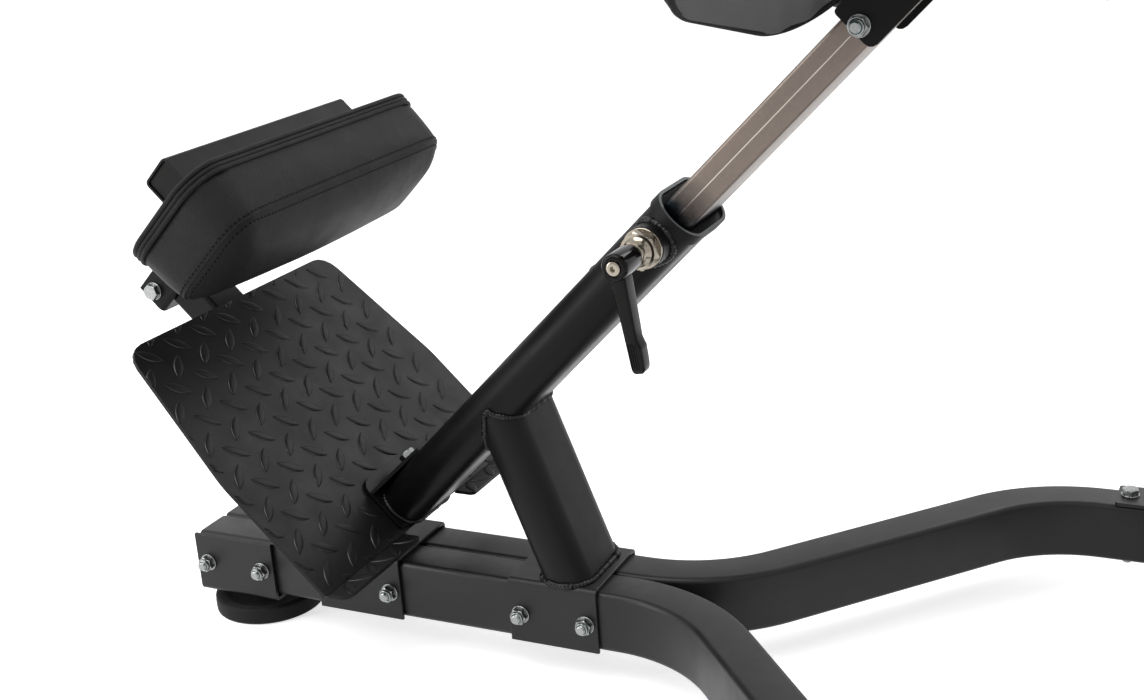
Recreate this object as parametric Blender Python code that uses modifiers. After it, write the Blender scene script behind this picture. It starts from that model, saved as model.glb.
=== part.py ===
"""A 45 degree back extension bench, in metres, with the floor at z = 0.

The bench faces +X: the foot plate and the calf pad are at the rear, the hip pads at the front.
Two empties carry the pieces. "bench" has its x = 0 at the front edge of the front saddle.
"incline" has its X up along the sloping tube and its Z out of the tube's upper face, so that a
piece there is placed by its distance along the tube (s), its y and its height over the axis (w).
"""

import math

import bmesh
import bpy
from mathutils import Matrix

# Clearances
GAP = 0.0003

# Base
LEG_WIDTH = 0.050
LEG_HEIGHT = 0.068
LEG_WALL = 0.0025
LEG_CORNER = 0.006
LEG_REAR_X = -0.5128
LEG_BEND_X = 0.020
LEG_BEND_ANGLE = math.radians(48.5)
LEG_BEND_R1 = 0.180
LEG_BEND_R2 = 0.162
LEG_SPREAD_Y = 0.3445
FRONT_TUBE_X = 0.572
FRONT_TUBE_LENGTH = 0.750
SHEET = 0.004
REAR_BRACKET_LENGTH = 0.107
REAR_BRACKET_DROP = 0.0026
REAR_BRACKET_TOP = 0.066
REAR_WALL_TOP = 0.060
SADDLE_DROP = 0.0015
MID_SADDLE_X = -0.2395
MID_SADDLE_LENGTH = 0.1085
FRONT_SADDLE_LENGTH = 0.1033
SADDLE_BOLT_INSET = 0.0135
MID_BOLT_INSET = 0.0135
REAR_BOLT_INSET = (0.0157, 0.0910)
BASE_BOLT_HEIGHT = 0.0315
TONGUE_X = 0.4707
TONGUE_BOLTS_X = (0.4845, 0.5450)
TONGUE_LAP = 0.040

# Feet
FOOT_R = 0.065
FOOT_THICKNESS = 0.020
FOOT_RIM = 0.013
FOOT_DISH = 0.008
BASE_BOTTOM = 0.039
REAR_FOOT_X = -0.4609
FRONT_FOOT_Y = 0.330

# Sloping tube and what it carries
INCLINE = math.radians(45)
TUBE_AXIS_N = 0.2622
TUBE_HEIGHT = 0.054
TUBE_WIDTH = 0.108
TUBE_WALL = 0.003
TUBE_LOW_S = -0.0754
TUBE_HIGH_S = 0.3970
COLLAR_LENGTH = 0.0132
COLLAR_LIP = 0.0025
COLLAR_SLEEVE = 0.011
STRUT_FOOT_X = -0.041
STRUT_SLOPE = 0.375
STRUT_ACROSS = 0.054
POST_HEIGHT = 0.033
POST_WIDTH = 0.088
POST_WALL = 0.003
POST_CORNER = 0.0035
POST_LOW_S = 0.150
POST_HIGH_S = 0.825
PLUG_LENGTH = 0.030
PLUG_SPIGOT = 0.020
STOP_S = 0.284
STOP_R = 0.004
STOP_CLEAR = 0.0015

# Clamp on the near side of the tube
CLAMP_S = 0.376
BOSS_R = 0.0207
BOSS_FACE = 0.070
SPINDLE_R = 0.006
CLAMP_FLANGE_R = 0.0200
CLAMP_FLANGE = 0.0028
CLAMP_HEX = 0.034
CLAMP_HEX_LENGTH = 0.011
CLAMP_NECK_R = 0.0085
CLAMP_PAD = 0.0045
CLAMP_BODY_END = 0.0970
HUB_R = 0.0130
HUB_END = 0.1400
LEVER_LENGTH = 0.1030
LEVER_LEAN = math.radians(8.9)
LEVER_FACE = 0.1270
LEVER_DEPTH = 0.0200
LEVER_ROOT = 0.0150
LEVER_TIP = 0.0112

# Foot plate
PLATE_FRONT_S = -0.080
PLATE_THICKNESS = 0.004
PLATE_LOW_W = -0.0262
PLATE_HIGH_W = 0.3023
PLATE_WAIST_W = 0.128
PLATE_HALF_LOW = 0.2125
PLATE_HALF_HIGH = 0.1845
PLATE_CORNER = 0.027
LIP_FRONT_X = -0.2010
LIP_TOP = 0.110
LIP_INNER_Y = 0.060
LIP_OUTER_Y = 0.2075
TAB_HALF_REAR = 0.0605
TAB_LOW_W = -0.0215
TAB_HALF_FRONT = 0.028
TAB_FRONT_S = -0.015
TAB_HEIGHT = 0.0187
TAB_BOLT_S = -0.050

# Arm and calf pad
ARM_DEPTH = 0.040
ARM_WIDTH = 0.055
ARM_LOW_W = 0.0
ARM_HIGH_W = 0.3475
ARM_WALL = 0.0025
ARM_CORNER = 0.0052
PROP_X = (-0.330, -0.275)
CALF_BRACKET_S = (-0.141, -0.070)
CALF_BRACKET_SIDE = 0.039
CALF_BAR_REAR_S = -0.1375
CALF_BAR_WIDTH = 0.0594
CALF_BAR_HEIGHT = 0.036
CALF_BOLTS_S = (-0.128, -0.085)
CALF_BOLT_RISE = 0.0015
CALF_TUBE_S = 0.069
CALF_TUBE_DEPTH = 0.040
CALF_TUBE_HEIGHT = 0.046
CALF_TUBE_LENGTH = 0.322
CALF_PAD_S = (0.017, 0.159)
CALF_PAD_WIDTH = 0.419
CALF_PAD_CORNER = 0.040
CALF_PAD_THICKNESS = 0.073
CALF_PAD_CROWN = 0.016
BOARD = 0.012

# Hip pads
HIP_BRACKET_S = (0.654, 0.880)
HIP_BRACKET_LOW_W = -0.0223
HIP_SPACER = 0.0055
HIP_SPACER_R = 0.011
HIP_TILT = math.radians(20)
HIP_PLANE_W = 0.0268
HIP_PLANE_Y = 0.050
HIP_FLANGE_S = 0.700
HIP_FLANGE_WIDTH = 0.072
HIP_BOLTS_S = (0.662, 0.780)
HIP_BRACKET_CORNER = 0.008
HIP_PAD_S = (0.613, 0.913)
HIP_PAD_WIDTH = 0.235
HIP_PAD_CORNER = 0.068
HIP_PAD_THICKNESS = 0.070
HIP_PAD_CROWN = 0.014
HANDLE_S = 0.8575
HANDLE_R = 0.0125
HANDLE_WALL = 0.002
HANDLE_HALF = 0.200
HANDLE_BEND = 0.035
HANDLE_DROP = 0.124
GRIP_R = 0.0165
GRIP_LENGTH = 0.090

# Fasteners, M10
BOLT_R = 0.005
WASHER_R = 0.01025
WASHER = 0.002
HEX = 0.0165
HEAD = 0.0064
NUT = 0.0070
NYLOC = 0.0030
THIN_NUT = 0.0050
THREAD_END = 0.0030

# What follows from the sizes above
BOLT_HOLE_R = BOLT_R + GAP
LEG_Y = LEG_WIDTH / 2 + GAP / 2
SADDLE_INNER = LEG_WIDTH + GAP / 2 + GAP
SADDLE_OUTER = SADDLE_INNER + SHEET
LEG_TOP = BASE_BOTTOM + LEG_HEIGHT
SADDLE_TOP = LEG_TOP + GAP + SHEET
REAR_BRACKET_X = LEG_REAR_X - GAP - SHEET
HIP_BRACKET_INNER = POST_WIDTH / 2 + GAP + HIP_SPACER
HIP_BRACKET_OUTER = HIP_BRACKET_INNER + SHEET
CALF_WEB_W = ARM_HIGH_W + GAP
CALF_BRACKET_INNER = CALF_BAR_WIDTH / 2 + GAP
CALF_BRACKET_OUTER = CALF_BRACKET_INNER + SHEET
CALF_BAR_W = CALF_WEB_W + SHEET + GAP
CALF_TUBE_W = CALF_BAR_W - GAP
CALF_BOARD_W = CALF_TUBE_W - GAP
PLATE_BACK_S = PLATE_FRONT_S - PLATE_THICKNESS
ARM_S = PLATE_BACK_S - GAP - ARM_DEPTH / 2
REAR_END = (CALF_BRACKET_S[0] * math.cos(INCLINE)
            - (TUBE_AXIS_N + CALF_WEB_W + CALF_BRACKET_SIDE) * math.sin(INCLINE))
FRONT_END = FRONT_TUBE_X + LEG_WIDTH / 2 + FOOT_R
CENTRE_X = (REAR_END + FRONT_END) / 2

# How an outline's two axes and its depth lie for each direction of extrusion
AXES = {
    "X": Matrix(((0, 0, 1), (1, 0, 0), (0, 1, 0))),
    "Y": Matrix(((1, 0, 0), (0, 0, -1), (0, 1, 0))),
    "Z": Matrix.Identity(3),
}
HEAD_FAR = Matrix(((1, 0, 0), (0, 0, 1), (0, -1, 0)))


def clear_scene():
    for obj in list(bpy.data.objects):
        bpy.data.objects.remove(obj)


def new_collection(name):
    found = bpy.data.collections.new(name)
    bpy.context.scene.collection.children.link(found)
    return found


clear_scene()
PARTS = new_collection("back_extension_bench")
CUTTERS = new_collection("cutters")


def material(name, colour, roughness, metallic):
    made = bpy.data.materials.new(name)
    made.use_nodes = True
    shader = made.node_tree.nodes["Principled BSDF"]
    shader.inputs["Base Color"].default_value = (*colour, 1)
    shader.inputs["Roughness"].default_value = roughness
    shader.inputs["Metallic"].default_value = metallic
    return made


BLACK_STEEL = material("black_powder_coat", (0.022, 0.022, 0.024), 0.42, 0.0)
ZINC = material("zinc_plated_steel", (0.68, 0.69, 0.68), 0.30, 1.0)
ALUMINIUM = material("satin_aluminium", (0.62, 0.59, 0.56), 0.38, 1.0)
NICKEL = material("nickel", (0.72, 0.68, 0.60), 0.22, 1.0)
GLOSS_BLACK = material("gloss_black_plastic", (0.015, 0.013, 0.012), 0.14, 0.0)
BLACK_PLASTIC = material("black_plastic", (0.035, 0.035, 0.036), 0.55, 0.0)
RUBBER = material("black_rubber", (0.028, 0.028, 0.028), 0.80, 0.0)
VINYL = material("black_vinyl", (0.020, 0.020, 0.021), 0.48, 0.0)
BOARD_COVER = material("grey_vinyl", (0.085, 0.088, 0.092), 0.50, 0.0)


def empty(name, parent=None):
    made = bpy.data.objects.new(name, None)
    made.parent = parent
    PARTS.objects.link(made)
    return made


def rounded_rect(width, height, radius, steps=3):
    """The outline of a rectangle with round corners, anticlockwise."""
    points = []
    for turn, (sx, sy) in enumerate(((1, 1), (-1, 1), (-1, -1), (1, -1))):
        for step in range(steps + 1):
            angle = (turn + step / steps) * math.pi / 2
            points.append((sx * (width / 2 - radius) + radius * math.cos(angle),
                           sy * (height / 2 - radius) + radius * math.sin(angle)))
    return points


def obround(width, height, steps=10):
    """A slot outline: flat long sides and half round ends."""
    return rounded_rect(width, height, min(width, height) / 2 - 1e-6, steps // 2)


def circle(radius, steps=32, centre=(0, 0)):
    turns = [2 * math.pi * step / steps for step in range(steps)]
    return [(centre[0] + radius * math.cos(a), centre[1] + radius * math.sin(a)) for a in turns]


def hexagon(across):
    return circle(across / math.sqrt(3), 6)


def rounded_polygon(corners, steps=3):
    """An outline through (x, y, radius) corners, each rounded by an arc of its radius."""
    points = []
    count = len(corners)
    for index, (x, y, radius) in enumerate(corners):
        before = corners[index - 1]
        after = corners[(index + 1) % count]
        to_before = math.atan2(before[1] - y, before[0] - x)
        to_after = math.atan2(after[1] - y, after[0] - x)
        opening = (to_before - to_after) % (2 * math.pi)
        if radius <= 0:
            points.append((x, y))
            continue
        half = opening / 2
        side = 1 if half < math.pi / 2 else -1
        middle = to_after + half + (0 if side > 0 else math.pi)
        reach = radius / abs(math.sin(half))
        cx = x + reach * math.cos(middle)
        cy = y + reach * math.sin(middle)
        start = to_before + side * math.pi / 2
        sweep = math.pi - opening
        for step in range(steps + 1):
            angle = start + sweep * step / steps
            points.append((cx + radius * math.cos(angle), cy + radius * math.sin(angle)))
    return points


def mesh_object(name, mesh, parent, look, helper=False):
    made = bpy.data.objects.new(name, mesh)
    made.parent = parent
    (CUTTERS if helper else PARTS).objects.link(made)
    if helper:
        made.hide_render = True
        made.display_type = "WIRE"
    elif look:
        mesh.materials.clear()
        mesh.materials.append(look)
    return made


def place(made, axis, low, high, centre):
    middle = (low + high) / 2
    first, second = centre
    location = {"X": (middle, first, second), "Y": (first, middle, second),
                "Z": (first, second, middle)}[axis]
    made.matrix_local = Matrix.Translation(location) @ AXES[axis].to_4x4()


def weld(mesh):
    made = bmesh.new()
    made.from_mesh(mesh)
    bmesh.ops.remove_doubles(made, verts=made.verts, dist=1e-6)
    bmesh.ops.recalc_face_normals(made, faces=made.faces)
    made.to_mesh(mesh)
    made.free()


def evaluated_mesh(source, name):
    bpy.context.view_layer.update()
    graph = bpy.context.evaluated_depsgraph_get()
    mesh = bpy.data.meshes.new_from_object(source.evaluated_get(graph))
    mesh.name = name
    return mesh


def prism(name, loops, axis, low, high, parent, look=None, centre=(0, 0), helper=False):
    """A flat outline, with any holes, drawn out from low to high along one axis."""
    curve = bpy.data.curves.new(name, "CURVE")
    curve.dimensions = "2D"
    curve.fill_mode = "BOTH"
    curve.extrude = (high - low) / 2
    for loop in loops:
        spline = curve.splines.new("POLY")
        spline.points.add(len(loop) - 1)
        for point, (x, y) in zip(spline.points, loop):
            point.co = (x, y, 0, 1)
        spline.use_cyclic_u = True
    drawn = bpy.data.objects.new(name + "_outline", curve)
    CUTTERS.objects.link(drawn)
    mesh = evaluated_mesh(drawn, name)
    bpy.data.objects.remove(drawn)
    weld(mesh)
    mesh.shade_smooth()
    mesh.set_sharp_from_angle(angle=math.radians(35))
    made = mesh_object(name, mesh, parent, look, helper)
    place(made, axis, low, high, centre)
    return made


def rod(name, radius, axis, low, high, parent, look=None, centre=(0, 0), helper=False, steps=24):
    mesh = bpy.data.meshes.new(name)
    shape = bmesh.new()
    bmesh.ops.create_cone(shape, cap_ends=True, segments=steps, radius1=radius, radius2=radius,
                          depth=high - low)
    shape.to_mesh(mesh)
    shape.free()
    mesh.shade_smooth()
    mesh.set_sharp_from_angle(angle=math.radians(35))
    made = mesh_object(name, mesh, parent, look, helper)
    place(made, axis, low, high, centre)
    return made


def turned(name, profile, axis, parent, look, centre=(0, 0), at=0.0, steps=24, helper=False):
    """A profile of (radius, height) points, top to bottom, spun about the axis."""
    mesh = bpy.data.meshes.new(name)
    points = [(radius, 0, height) for radius, height in profile]
    mesh.from_pydata(points, [(i, i + 1) for i in range(len(points) - 1)], [])
    made = mesh_object(name, mesh, parent, look, helper)
    screw = made.modifiers.new("turn", "SCREW")
    screw.axis = "Z"
    screw.steps = steps
    screw.render_steps = steps
    screw.use_merge_vertices = True
    screw.merge_threshold = 1e-5
    screw.use_smooth_shade = True
    place(made, axis, at, at, centre)
    return made


def boolean(made, other, operation="DIFFERENCE"):
    step = made.modifiers.new(operation.lower(), "BOOLEAN")
    step.operation = operation
    step.solver = "EXACT"
    step.object = other
    return made


def drill(made, name, radius, axis, low, high, parent, centre, steps=12):
    boolean(made, rod(name, radius, axis, low, high, parent, centre=centre, helper=True,
                      steps=steps))


def chamfer(made, width, segments=1):
    bevel = made.modifiers.new("edges", "BEVEL")
    bevel.width = width
    bevel.segments = segments
    bevel.limit_method = "ANGLE"
    bevel.angle_limit = math.radians(40)
    return made


BENCH = empty("bench")
BENCH.location = (-CENTRE_X, 0, 0)
SLOPE = empty("incline", BENCH)
SLOPE.location = (-TUBE_AXIS_N * math.sin(INCLINE), 0,
                  BASE_BOTTOM + TUBE_AXIS_N * math.cos(INCLINE))
SLOPE.rotation_euler = (0, -INCLINE, 0)
CLAMP = empty("clamp_axis", BENCH)
CLAMP.location = (CLAMP_S * math.cos(INCLINE) - TUBE_AXIS_N * math.sin(INCLINE), 0,
                  BASE_BOTTOM + CLAMP_S * math.sin(INCLINE) + TUBE_AXIS_N * math.cos(INCLINE))


# Fasteners

def bolt_mesh(name, grip, nut_height, nyloc, washers=True):
    """A bolt along Z with its grip centred on 0, its head above and its nut below, as one body."""
    half = grip / 2
    washer = WASHER if washers else 0
    bottom = -half - washer - nut_height - nyloc - THREAD_END
    shaft = rod(name, BOLT_R, "Z", bottom, half + washer + HEAD / 2, None, steps=12)
    overlap = 0.0002
    pieces = [
        prism(name + "_head", [hexagon(HEX)], "Z", half + washer - overlap, half + washer + HEAD,
              None, helper=True),
        prism(name + "_nut", [hexagon(HEX)], "Z", -half - washer - nut_height,
              -half - washer + overlap, None, helper=True),
    ]
    if washers:
        pieces.append(rod(name + "_washer", WASHER_R, "Z", half, half + washer, None,
                          helper=True, steps=14))
        pieces.append(rod(name + "_nut_washer", WASHER_R, "Z", -half - washer, -half, None,
                          helper=True, steps=14))
    if nyloc:
        pieces.append(rod(name + "_ring", HEX * 0.43, "Z", -half - washer - nut_height - nyloc,
                          -half - washer - nut_height + overlap, None, helper=True, steps=14))
    for piece in pieces:
        boolean(shaft, piece, "UNION")
    mesh = evaluated_mesh(shaft, name)
    mesh.transform(shaft.matrix_world)
    for piece in pieces:
        bpy.data.objects.remove(piece)
    bpy.data.objects.remove(shaft)
    weld(mesh)
    mesh.shade_smooth()
    mesh.set_sharp_from_angle(angle=math.radians(35))
    return mesh


def bolt(name, mesh, parent, turn, location):
    made = mesh_object(name, mesh, parent, ZINC)
    made.matrix_local = Matrix.Translation(location) @ turn.to_4x4()
    return made


# Base

def leg_path(side):
    """The leg's centre line: straight, an arc out, a straight run, an arc back and straight."""
    rise1 = LEG_BEND_R1 * (1 - math.cos(LEG_BEND_ANGLE))
    rise2 = LEG_BEND_R2 * (1 - math.cos(LEG_BEND_ANGLE))
    run = (LEG_SPREAD_Y - LEG_Y - rise1 - rise2) / math.tan(LEG_BEND_ANGLE)
    second_x = LEG_BEND_X + LEG_BEND_R1 * math.sin(LEG_BEND_ANGLE) + run
    end_x = second_x + LEG_BEND_R2 * math.sin(LEG_BEND_ANGLE)
    steps = 4
    points = [(LEG_REAR_X, LEG_Y)]
    for step in range(steps + 1):
        angle = LEG_BEND_ANGLE * step / steps
        points.append((LEG_BEND_X + LEG_BEND_R1 * math.sin(angle),
                       LEG_Y + LEG_BEND_R1 * (1 - math.cos(angle))))
    for step in range(steps + 1):
        angle = LEG_BEND_ANGLE * (1 - step / steps)
        points.append((end_x - LEG_BEND_R2 * math.sin(angle),
                       LEG_SPREAD_Y - LEG_BEND_R2 * (1 - math.cos(angle))))
    points.append((FRONT_TUBE_X - GAP, LEG_SPREAD_Y))
    return [(x, side * y) for x, y in points]


def swept_tube(name, path, outline, wall, parent, look):
    """A hollow tube: the outline's skin carried along the path, thickened inwards."""
    section = bpy.data.curves.new(name + "_section", "CURVE")
    section.dimensions = "2D"
    ring = section.splines.new("POLY")
    ring.points.add(len(outline) - 1)
    for point, (x, y) in zip(ring.points, outline):
        point.co = (x, y, 0, 1)
    ring.use_cyclic_u = True
    shape = bpy.data.objects.new(name + "_section", section)
    CUTTERS.objects.link(shape)
    curve = bpy.data.curves.new(name, "CURVE")
    curve.dimensions = "3D"
    curve.twist_mode = "Z_UP"
    curve.bevel_mode = "OBJECT"
    curve.bevel_object = shape
    line = curve.splines.new("POLY")
    line.points.add(len(path) - 1)
    for point, where in zip(line.points, path):
        point.co = (*where, 1)
    drawn = bpy.data.objects.new(name + "_path", curve)
    CUTTERS.objects.link(drawn)
    mesh = evaluated_mesh(drawn, name)
    bpy.data.objects.remove(drawn)
    bpy.data.objects.remove(shape)
    weld(mesh)
    mesh.shade_smooth()
    mesh.set_sharp_from_angle(angle=math.radians(35))
    made = mesh_object(name, mesh, parent, look)
    skin = made.modifiers.new("wall", "SOLIDIFY")
    skin.thickness = wall
    skin.offset = -1
    skin.use_even_offset = True
    skin.use_rim = True
    return made


def base_bolt_places():
    rear = [REAR_BRACKET_X + inset for inset in REAR_BOLT_INSET]
    mid = [MID_SADDLE_X - MID_SADDLE_LENGTH + MID_BOLT_INSET, MID_SADDLE_X - MID_BOLT_INSET]
    front = [-FRONT_SADDLE_LENGTH + SADDLE_BOLT_INSET, -SADDLE_BOLT_INSET]
    names = ("rear_bolt_back", "rear_bolt_front", "mid_bolt_back", "mid_bolt_front",
             "strut_bolt_back", "strut_bolt_front")
    return dict(zip(names, rear + mid + front))


def make_legs():
    middle = BASE_BOTTOM + LEG_HEIGHT / 2
    reach = SADDLE_OUTER + 0.02
    for name, side in (("leg_right", -1), ("leg_left", 1)):
        path = [(x, y, middle) for x, y in leg_path(side)]
        leg = swept_tube(name, path, rounded_rect(LEG_WIDTH, LEG_HEIGHT, LEG_CORNER, 2),
                         LEG_WALL, BENCH, BLACK_STEEL)
        for bolt_name, x in base_bolt_places().items():
            drill(leg, f"{name}_{bolt_name}_hole", BOLT_HOLE_R, "Y", -reach, reach, BENCH,
                  (x, BASE_BOTTOM + BASE_BOLT_HEIGHT))
        for index, x in enumerate(TONGUE_BOLTS_X):
            drill(leg, f"{name}_tongue_hole_{index}", BOLT_HOLE_R, "Z", BASE_BOTTOM - 0.01,
                  LEG_TOP + 0.01, BENCH, (x, side * LEG_SPREAD_Y))


def make_rear_bracket():
    floor = BASE_BOTTOM - REAR_BRACKET_DROP
    top = BASE_BOTTOM + REAR_BRACKET_TOP
    outline = rounded_polygon([
        (-SADDLE_OUTER, floor - SHEET, 0.006), (SADDLE_OUTER, floor - SHEET, 0.006),
        (SADDLE_OUTER, top, 0.001), (SADDLE_INNER, top, 0), (SADDLE_INNER, floor, 0.002),
        (-SADDLE_INNER, floor, 0.002), (-SADDLE_INNER, top, 0), (-SADDLE_OUTER, top, 0.001)])
    high = REAR_BRACKET_X + REAR_BRACKET_LENGTH
    bracket = prism("rear_bracket", [outline], "X", REAR_BRACKET_X, high, BENCH, BLACK_STEEL)
    wall = rounded_rect(2 * SADDLE_INNER + 0.001, REAR_WALL_TOP + REAR_BRACKET_DROP + 0.002, 0.003)
    boolean(bracket, prism("rear_wall", [wall], "X", REAR_BRACKET_X, REAR_BRACKET_X + SHEET,
                           BENCH, helper=True,
                           centre=(0, (floor - 0.002 + BASE_BOTTOM + REAR_WALL_TOP) / 2)), "UNION")
    for index, inset in enumerate(REAR_BOLT_INSET):
        drill(bracket, f"rear_bracket_hole_{index}", BOLT_HOLE_R, "Y", -0.1, 0.1, BENCH,
              (REAR_BRACKET_X + inset, BASE_BOTTOM + BASE_BOLT_HEIGHT))
    drill(bracket, "rear_stem_hole", BOLT_HOLE_R, "Z", floor - 0.02, floor + 0.002, BENCH,
          (REAR_FOOT_X, 0))


def make_saddle(name, low, high, bolts):
    bottom = BASE_BOTTOM - SADDLE_DROP
    inner_top = SADDLE_TOP - SHEET
    outline = rounded_polygon([
        (-SADDLE_OUTER, SADDLE_TOP, 0.006), (-SADDLE_OUTER, bottom, 0.001),
        (-SADDLE_INNER, bottom, 0), (-SADDLE_INNER, inner_top, 0.002),
        (SADDLE_INNER, inner_top, 0.002), (SADDLE_INNER, bottom, 0),
        (SADDLE_OUTER, bottom, 0.001), (SADDLE_OUTER, SADDLE_TOP, 0.006)])
    saddle = prism(name, [outline], "X", low, high, BENCH, BLACK_STEEL)
    for index, x in enumerate(bolts):
        drill(saddle, f"{name}_hole_{index}", BOLT_HOLE_R, "Y", -0.1, 0.1, BENCH,
              (x, BASE_BOTTOM + BASE_BOLT_HEIGHT))
    return saddle


def make_base_bolts():
    mesh = bolt_mesh("base_bolt", 2 * SADDLE_OUTER, NUT, NYLOC)
    for name, x in base_bolt_places().items():
        bolt(name, mesh, BENCH, HEAD_FAR, (x, 0, BASE_BOTTOM + BASE_BOLT_HEIGHT))


def make_front():
    middle = BASE_BOTTOM + LEG_HEIGHT / 2
    outer = rounded_rect(LEG_WIDTH, LEG_HEIGHT, LEG_CORNER, 2)
    inner = rounded_rect(LEG_WIDTH - 2 * LEG_WALL, LEG_HEIGHT - 2 * LEG_WALL,
                         LEG_CORNER - LEG_WALL, 2)
    half = FRONT_TUBE_LENGTH / 2
    centre_x = FRONT_TUBE_X + LEG_WIDTH / 2
    tube = prism("front_cross_tube", [outer, inner], "Y", -half, half, BENCH, BLACK_STEEL,
                 centre=(centre_x, middle))
    cap_mesh_outline = rounded_rect(LEG_WIDTH, LEG_HEIGHT, LEG_CORNER, 2)
    spigot = rounded_rect(LEG_WIDTH - 2 * LEG_WALL - 2 * GAP, LEG_HEIGHT - 2 * LEG_WALL - 2 * GAP,
                          LEG_CORNER - LEG_WALL, 2)
    grip = SADDLE_TOP - BASE_BOTTOM
    mesh = bolt_mesh("tongue_bolt", grip, THIN_NUT, 0)
    for side_name, side in (("right", -1), ("left", 1)):
        drill(tube, f"front_stem_hole_{side_name}", BOLT_HOLE_R, "Z", BASE_BOTTOM - 0.01,
              BASE_BOTTOM + 0.01, BENCH, (centre_x, side * FRONT_FOOT_Y))
        face = side * (half + GAP)
        ends = sorted((face, face + side * SHEET))
        cap = prism(f"front_cap_{side_name}", [cap_mesh_outline], "Y", *ends, BENCH,
                    BLACK_PLASTIC, centre=(centre_x, middle))
        ends = sorted((face + side * SHEET / 2, face - side * 0.015))
        boolean(cap, prism(f"front_cap_spigot_{side_name}", [spigot], "Y", *ends, BENCH,
                           centre=(centre_x, middle), helper=True), "UNION")
        tongue_end = FRONT_TUBE_X + TONGUE_LAP
        plate = prism(f"tongue_{side_name}",
                      [rounded_rect(tongue_end - TONGUE_X, LEG_WIDTH, 0.004)],
                      "Z", SADDLE_TOP - SHEET, SADDLE_TOP, BENCH,
                      centre=((tongue_end + TONGUE_X) / 2, side * LEG_SPREAD_Y), helper=True)
        boolean(tube, plate, "UNION")
        weld_pad = rounded_rect(TONGUE_LAP * 0.6, LEG_WIDTH * 0.8, 0.004)
        boolean(tube, prism(f"tongue_seat_{side_name}", [weld_pad], "Z", LEG_TOP - 0.001,
                            SADDLE_TOP - SHEET / 2, BENCH, helper=True,
                            centre=(FRONT_TUBE_X + TONGUE_LAP * 0.6, side * LEG_SPREAD_Y)),
                "UNION")
        for index, x in enumerate(TONGUE_BOLTS_X):
            drill(tube, f"tongue_{side_name}_hole_{index}", BOLT_HOLE_R, "Z",
                  SADDLE_TOP - 0.02, SADDLE_TOP + 0.02, BENCH, (x, side * LEG_SPREAD_Y))
            bolt(f"tongue_bolt_{side_name}_{index + 1}", mesh, BENCH, AXES["Z"],
                 (x, side * LEG_SPREAD_Y, (SADDLE_TOP + BASE_BOTTOM) / 2))


# Feet

def make_foot(name, x, y, seat):
    """A dished rubber disc and the threaded stem between it and the metal above it, at seat."""
    dish = FOOT_THICKNESS - FOOT_DISH
    socket = 0.0055
    foot = turned(name, [
        (0, socket), (BOLT_HOLE_R, socket), (BOLT_HOLE_R, dish), (FOOT_R - FOOT_RIM - 0.006, dish),
        (FOOT_R - FOOT_RIM, FOOT_THICKNESS - 0.001), (FOOT_R - FOOT_RIM + 0.002, FOOT_THICKNESS),
        (FOOT_R - 0.003, FOOT_THICKNESS), (FOOT_R, FOOT_THICKNESS - 0.003),
        (FOOT_R, 0.002), (FOOT_R - 0.002, 0), (0, 0)], "Z", BENCH, RUBBER, centre=(x, y),
        steps=20)
    stem = rod(name + "_stem", BOLT_R, "Z", socket + GAP, seat + 0.0035, BENCH, ZINC,
               centre=(x, y), steps=12)
    boolean(stem, rod(name + "_stem_flange", 0.014, "Z", dish + GAP, dish + 0.003, BENCH,
                      centre=(x, y), helper=True, steps=14), "UNION")
    boolean(stem, prism(name + "_stem_nut", [hexagon(HEX)], "Z", seat - GAP - NUT, seat - GAP,
                        BENCH, centre=(x, y), helper=True), "UNION")
    return foot


# Sloping tube

def tube_outline(extra=0.0):
    return obround(TUBE_WIDTH + 2 * extra, TUBE_HEIGHT + 2 * extra, 12)


def make_main_tube():
    tube = prism("main_tube", [tube_outline(), tube_outline(-TUBE_WALL)], "X", TUBE_LOW_S,
                 TUBE_HIGH_S, SLOPE, BLACK_STEEL)
    drill(tube, "spindle_hole", SPINDLE_R + GAP, "Y", -TUBE_WIDTH / 2 - 0.005, -POST_WIDTH / 2,
          SLOPE, (CLAMP_S, 0))
    drill(tube, "stop_hole", STOP_R + GAP, "Z", 0, TUBE_HEIGHT, SLOPE, (STOP_S, 0), steps=16)
    drill(tube, "tab_bolt_tube_hole", BOLT_HOLE_R, "Z", TUBE_HEIGHT / 2 - TUBE_WALL - 0.004,
          TUBE_HEIGHT / 2 + 0.01, SLOPE, (TAB_BOLT_S, 0))


def make_collar():
    low = TUBE_HIGH_S + GAP
    high = low + COLLAR_LENGTH
    collar = prism("collar", [tube_outline(COLLAR_LIP)], "X", low, high, SLOPE, BLACK_PLASTIC)
    boolean(collar, prism("collar_sleeve", [tube_outline(-TUBE_WALL - GAP)], "X",
                          low - COLLAR_SLEEVE, low + 0.002, SLOPE, helper=True), "UNION")
    hole = rounded_rect(POST_WIDTH + 2 * GAP, POST_HEIGHT + 2 * GAP, POST_CORNER)
    boolean(collar, prism("collar_hole", [hole], "X", low - 0.05, high + 0.05, SLOPE,
                          helper=True))


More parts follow.
